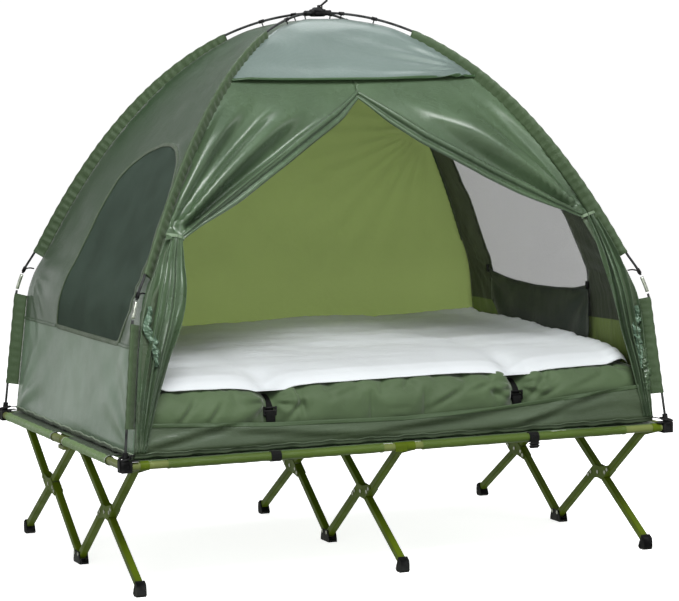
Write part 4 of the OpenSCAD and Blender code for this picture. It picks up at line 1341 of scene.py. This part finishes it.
def crumpled(name, line, width, seed, mats, lift, depth=0.007):
    """Small scrunched end of cloth along a line of (along, height)."""
    path = softened(evenly(wz(line), 0.0022), 3)
    d = heading_of(path)
    n = np.stack([-d[:, 1], d[:, 0]], axis=1)
    share = np.linspace(0, 1, len(path))
    size = width * (0.35 + 0.65 * np.sin(math.pi * np.clip(share * 0.9 + 0.08, 0, 1)))
    rows = []
    for k in np.linspace(-0.5, 0.5, 15):
        q = path + n * (k * size)[:, None]
        h = lift + depth * ripple(np.stack([q[:, 0], q[:, 1]], -1), 0.022, seed) + 0.5 * depth * ripple(q, 0.010, seed + 1) + depth * math.cos(k * 5)
        rows.append(on_wall("front", q[:, 0], q[:, 1], h))
    obj = grid_object(name, np.stack(rows, axis=1), [mats], "shelter", thickness=0.0008)


def tied_doors():
    hanging("left_door_tail", LEFT_HANG, 1, 4.4, 0.0105)
    hanging("right_door_tail", RIGHT_HANG, 4, 4.2, 0.0120)
    tie_band("left_door_tie", (-0.722, 1.116), -1, 0.030, 0.014, -0.25)
    tie_band("right_door_tie", (0.744, 1.136), 1, 0.028, 0.014, 0.30)
    crumpled("left_door_scrap", [(-0.836, 0.905), (-0.842, 0.875), (-0.853, 0.845), (-0.846, 0.825), (-0.832, 0.80), (-0.826, 0.76), (-0.824, 0.72)], 0.028, 5, SHINY, 0.016)
    crumpled("right_door_scrap", [(0.862, 0.83), (0.868, 0.79), (0.858, 0.76), (0.866, 0.72), (0.872, 0.66), (0.868, 0.62)], 0.024, 9, SHINY, 0.014)
    crumpled("right_door_pocket", [(0.880, 0.70), (0.886, 0.65), (0.892, 0.59), (0.890, 0.545)], 0.042, 12, DOOR, 0.010, 0.004)


tied_doors()
# ---------------------------------------------------------------- window flap, floor and hem
def window_flap():
    """Storm flap let down inside the right-hand window."""
    top = wz([(0.445, 0.893), (0.36, 0.876), (0.22, 0.862), (0.05, 0.856), (-0.12, 0.858), (-0.26, 0.866), (-0.350, 0.882)])
    low = wz([(-0.362, 0.76), (-0.350, 0.70), (-0.24, 0.664), (0.0, 0.655), (0.22, 0.660), (0.34, 0.69), (0.415, 0.78)])
    outline = np.vstack([softened(evenly(top, 0.01), 4), softened(evenly(low, 0.01), 4)])
    middle = float(t_at(0.86))

    def push(w, t):
        p = np.stack([w, t], axis=-1)
        droop = smooth(middle - t, -0.01, 0.10)
        folds = pulls(w, t, (0.44, middle), 0.5, 9, 0.010, 0.4) + pulls(w, t, (-0.35, middle), 0.4, 9, 0.008, 1.8)
        return -0.007 - 0.018 * droop + folds * 0.7 + 0.004 * ripple(p * [1, 2], 0.3, 81)

    obj, area = wall_piece("window_flap_cloth", "right", outline, [], push, [DARK_FLAP], step=0.011)
    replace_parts(obj, "window_flap")
    roll = softened(evenly(top, 0.008), 4)
    pts = on_wall("right", roll[:, 0], roll[:, 1], push(roll[:, 0], roll[:, 1]) - 0.002)
    tube("window_flap_edge", pts, 0.0032, DARK_FLAP, "shelter", 10)
    for k, (w, z) in enumerate(((-0.352, 0.884), (0.445, 0.895))):
        at = on_wall("right", np.array([w]), np.array([float(t_at(z))]), np.array([-0.009]))[0]
        v, f = rounded_block(at - [0.005, 0.006, 0.014], at + [0.005, 0.006, 0.014], 0.003, 0.0025)
        make_object(f"window_flap_toggle_{k}", v, f, [BLACK], "shelter")


def tent_floor():
    low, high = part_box("tent_floor")
    nx, ny = 130, 100
    x = np.linspace(low.x, high.x, nx)[:, None] * np.ones((1, ny))
    y = np.linspace(low.y, high.y, ny)[None, :] * np.ones((nx, 1))
    z = 0.4386 + 0.0007 * ripple(np.stack([x, y], -1).reshape(-1, 2), 0.2, 91).reshape(nx, ny)
    obj = grid_object("tent_floor_cloth", np.stack([x, y, z], -1), [TENT], "shelter", thickness=0.0010)
    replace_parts(obj, "tent_floor")


def hem():
    """Piping sewn round the foot of the four walls, pale at the sides and rear; the front piping and the skirts under
    all four walls take the darker sill cloth, which is painted shade.
    """
    for side in SIDES:
        half = float(half_width(side, 0))
        w = np.linspace(-half, half, 180)
        t = np.maximum(0.0035 + 0.0016 * np.sin(w * 43) + 0.0012 * np.sin(w * 97 + 1), 0.001)
        foot = on_wall(side, w, t, 0.0)
        tube(f"hem_piping_{side}", on_wall(side, w, t, 0.0018), 0.0026, SILL_SHADED if side == "front" else PIPING, "shelter", 10)
        rows = [foot + [0, 0, dz] for dz in np.linspace(0.0, -0.0125, 5)]
        grid_object(f"hem_skirt_{side}", np.stack(rows, axis=1), [SILL_SHADED], "shelter")


# ---------------------------------------------------------------- cloth and fittings of the cot
def bed_fabric():
    low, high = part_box("bed_fabric")
    nx, ny = 120, 90
    x = np.linspace(low.x, high.x, nx)[:, None] * np.ones((1, ny))
    y = np.linspace(low.y, high.y, ny)[None, :] * np.ones((nx, 1))
    z = 0.4338 - 0.0006 + 0.0012 * ripple(np.stack([x, y * 0.5], -1).reshape(-1, 2), 0.35, 95).reshape(nx, ny)
    obj = grid_object("bed_fabric_cloth", np.stack([x, y, z], -1), [BED], "rear_middle_rail", thickness=0.0012)
    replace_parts(obj, "bed_fabric")
    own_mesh(obj)


def sleeve_tube(name, start, end, radius, mats, body, seed, cuffs=(0.010, 0.010)):
    """Cloth sleeve drawn over a tube, with a hemmed cuff at each end."""
    a, b = np.asarray(start, float), np.asarray(end, float)
    n = int(np.linalg.norm(b - a) / 0.004)
    share = np.linspace(0, 1, n)
    path = a + (b - a) * share[:, None]
    run = share * np.linalg.norm(b - a)
    away = np.minimum(run, run[-1] - run)
    wave = 0.00030 * np.sin(run * 61 + seed) + 0.00025 * np.sin(run * 143 + 2 * seed)
    r = radius + wave + 0.0011 * (away < cuffs[0]) - 0.0004 * ((away >= cuffs[0]) & (away < cuffs[0] + 0.005))
    obj = tube(name, path, r, mats, body, 28, caps=False)
    return obj


HEM_GAP = (-0.086, 0.051)


def rail_cloth():
    for side, body in (("front", "front_side_rail"), ("rear", "rear_side_rail")):
        low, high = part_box(f"{side}_rail_hems")
        y, z = (low.y + high.y) / 2, (low.z + high.z) / 2
        spans = ((low.x, HEM_GAP[0]), (HEM_GAP[1], high.x))
        pieces = [sleeve_tube(f"{side}_rail_sleeve_{k}", (x0, y, z), (x1, y, z), 0.0142, HEM, body, k + len(side)) for k, (x0, x1) in enumerate(spans)]
        sleeve = join(f"{side}_rail_sleeve", pieces, body)
        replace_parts(sleeve, f"{side}_rail_hems")
    low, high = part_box("front_rail_straps")
    y, z = -0.715, 0.422
    for label, x in (("left", low.x + 0.017), ("right", high.x - 0.017)):
        loop = strip(f"rail_strap_{label}", ring_path((x, y, z), 0.0160), (1, 0, 0), 0.034, 0.0020, WEB, "front_side_rail", closed=True)
        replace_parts(loop, "front_rail_straps")
    x = high.x - 0.017
    tail = softened(evenly([(x, y - 0.0172, z + 0.004), (x, y - 0.0165, z - 0.010), (x, y - 0.012, z - 0.022), (x, y - 0.010, z - 0.036)], 0.002), 4)
    strip("rail_strap_tab", tail, (1, 0, 0), 0.030, 0.0030, WEB, "front_side_rail")
    for k, dz in enumerate((-0.020, -0.029)):
        v, f = rounded_block((x - 0.019, y - 0.016, z + dz - 0.003), (x + 0.019, y - 0.008, z + dz + 0.003), 0.0025, 0.0025)
        make_object(f"rail_strap_buckle_{k}", v, f, [BLACK], "front_side_rail")


def end_bars():
    for side, sign in (("left", -1), ("right", 1)):
        low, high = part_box(f"{side}_bar_sleeves")
        x, z = (low.x + high.x) / 2, (low.z + high.z) / 2
        parts = []
        for k, (y0, y1) in enumerate(((low.y, -0.075), (0.060, high.y))):
            parts.append(sleeve_tube(f"{side}_bar_sleeve_{k}", (x, y0, z), (x, y1, z), 0.0146, BAR_SLEEVE, "shelter", k + 3))
            for j, y in enumerate((y0, y1)):
                step = 0.005 if j == 0 else -0.005
                tube(f"{side}_bar_hem_{k}_{j}", [(x, y - step * 0.1, z), (x, y + step * 0.5, z), (x, y + step, z)], 0.0160, PIPING_WHITE, "shelter", 28, caps=False)
            # The bed cloth from each sleeve down to the bed, in the darker bar_web cloth: painted shade.
            xs = np.linspace(x, sign * 0.9035, 12)
            ys = np.linspace(y0 + 0.004, y1 - 0.004, 60)
            gx, gy = np.meshgrid(xs, ys, indexing="ij")
            out = smooth(np.abs(gx), 0.9035, abs(x) - 0.004)
            gz = 0.4352 + (z + 0.0142 - 0.4352) * out + 0.0008 * np.sin(gy * 55 + k) * (1 - out)
            grid_object(f"{side}_bar_web_{k}", np.stack([gx, gy, gz], -1), [BAR_WEB_SHADED], "shelter", thickness=0.0008)
        cloth = join(f"{side}_bar_cloth", parts, "shelter")
        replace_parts(cloth, f"{side}_bar_sleeves")


def crown():
    low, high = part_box("hub")
    z = (low.z + high.z) / 2
    bottom = low.z - z
    profile = [(0.0006, bottom), (0.022, bottom), (0.0275, bottom + 0.002), (0.0298, bottom + 0.006), (0.0300, bottom + 0.012),
               (0.0288, bottom + 0.0135), (0.0288, bottom + 0.0150), (0.0300, bottom + 0.0165), (0.0298, bottom + 0.020),
               (0.0270, bottom + 0.024), (0.0190, bottom + 0.0262), (0.0165, bottom + 0.030), (0.0120, bottom + 0.0315), (0.0006, bottom + 0.0318)]
    body = turned("crown_hub", profile, (0, 0, z), BLACK, "shelter")
    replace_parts(body, "hub")
    for label, corner in CORNERS.items():
        path = [in_corner(s, arch_z(s), 0, corner) for s in np.linspace(0.016, 0.047, 12)]
        tube(f"crown_socket_{label}", path, [0.0092] * 8 + [0.0092, 0.0098, 0.0098, 0.0090], BLACK, "shelter", 20)
    lug0, lug1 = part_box("hub_lever")
    pin = np.array([lug0.x + 0.005, 0, lug0.z + 0.005])
    tip = np.array([lug1.x - 0.0045, 0, lug1.z - 0.0045])
    for k, y in enumerate((-0.0075, 0.0075)):
        v, f = rounded_block((pin[0] - 0.007, y - 0.0017, pin[2] - 0.010), (pin[0] + 0.007, y + 0.0017, pin[2] + 0.0055), 0.0016, 0.0015)
        make_object(f"crown_lug_{k}", v, f, [BLACK], "shelter")
    line = evenly([pin - (tip - pin) * 0.10, pin, tip, tip + (tip - pin) * 0.06], 0.002)
    share = np.linspace(0, 1, len(line))
    lever = tube("crown_lever", line, 0.0050 + 0.0010 * share - 0.0035 * (share > 0.97), BLACK, "release_lever", 20, squash=0.62)
    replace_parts(lever, "hub_lever")
    tube("crown_lever_pin", [pin - [0, 0.0095, 0], pin, pin + [0, 0.0095, 0]], 0.0021, RIVET, "release_lever", 16)


def pole_feet():
    """Moulded eye round the foot of each pole."""
    for label, corner in CORNERS.items():
        a = np.linspace(0, 2 * math.pi, 40)
        pts = np.array([in_corner(DIAG - 0.002 + 0.019 * math.cos(k), 0.4475 - 0.004 * math.cos(k), 0.0165 * math.sin(k), corner) for k in a])
        tube(f"pole_foot_eye_{label}", pts, 0.0046, BLACK, "shelter", 14, caps=False, squash=0.8)


window_flap()
tent_floor()
hem()
bed_fabric()
rail_cloth()
end_bars()
crown()
pole_feet()

# ---------------------------------------------------------------- floor and light
def area_light(name, at, aim, size, power, colour=(1, 1, 1)):
    data = bpy.data.lights.new(name, "AREA")
    data.shape, data.size, data.size_y = "RECTANGLE", size[0], size[1]
    data.energy, data.color = power, colour
    lamp = bpy.data.objects.new(name, data)
    bpy.context.scene.collection.objects.link(lamp)
    lamp.location = at
    lamp.rotation_mode = "QUATERNION"
    lamp.rotation_quaternion = (Vector(aim) - Vector(at)).to_track_quat("-Z", "Y")


# brightness of the surroundings by direction (0 straight down, 1 straight up)
SURROUNDINGS = ((0.0, 0.42), (0.455, 0.42), (0.470, 1.0), (0.525, 1.0), (0.620, 0.18))


def studio():
    world = bpy.data.worlds.new("studio")
    bpy.context.scene.world = world
    world.use_nodes = True
    nodes, links = world.node_tree.nodes, world.node_tree.links
    back = nodes["Background"]
    back.inputs["Strength"].default_value = 1.02
    where, split, share, fade = (nodes.new(k) for k in ("ShaderNodeTexCoord", "ShaderNodeSeparateXYZ", "ShaderNodeMath", "ShaderNodeValToRGB"))
    links.new(where.outputs["Generated"], split.inputs["Vector"])
    share.operation = "MULTIPLY_ADD"
    share.inputs[1].default_value = share.inputs[2].default_value = 0.5
    links.new(split.outputs["Z"], share.inputs[0])
    links.new(share.outputs[0], fade.inputs["Fac"])
    stops = fade.color_ramp.elements
    stops[0].position, stops[1].position = SURROUNDINGS[0][0], SURROUNDINGS[-1][0]
    for at, _ in SURROUNDINGS[1:-1]:
        stops.new(at)
    for stop, (at, value) in zip(stops, SURROUNDINGS):
        green = 0.08 * (at < 0.46)
        stop.color = (value, value * (1 + green), value * (1 - green), 1)
    links.new(fade.outputs["Color"], back.inputs["Color"])
    mesh = bpy.data.meshes.new("floor")
    r = 40.0
    mesh.from_pydata([(-r, -r, 0), (r, -r, 0), (r, r, 0), (-r, r, 0)], [], [(0, 1, 2, 3)])
    floor = bpy.data.objects.new("floor", mesh)
    bpy.context.scene.collection.objects.link(floor)
    p = Paint("floor_paper", (0.88, 0.88, 0.88, 1), 0.9)
    p.vary(0.01, 0.5)
    p.shader.inputs["Emission Color"].default_value = (1, 1, 1, 1)
    p.shader.inputs["Emission Strength"].default_value = 0.85
    mesh.materials.append(p.mat)
    floor.visible_glossy = floor.visible_diffuse = False
    area_light("key", (-0.8, -4.8, 6.2), (0, -0.3, 0.9), (3.2, 3.2), 470)
    area_light("top", (0.5, 2.5, 5.5), (0, 0.3, 1.0), (4, 3), 120, (0.95, 0.98, 1.0))
    area_light("left", (-5.0, -5.0, 2.6), (-0.5, -0.4, 1.0), (2.0, 2.5), 90)
    area_light("rim", (5.0, -1.0, 3.0), (0, 0, 1.0), (2, 3), 25)


studio()
bpy.context.scene.view_settings.view_transform = "Standard"
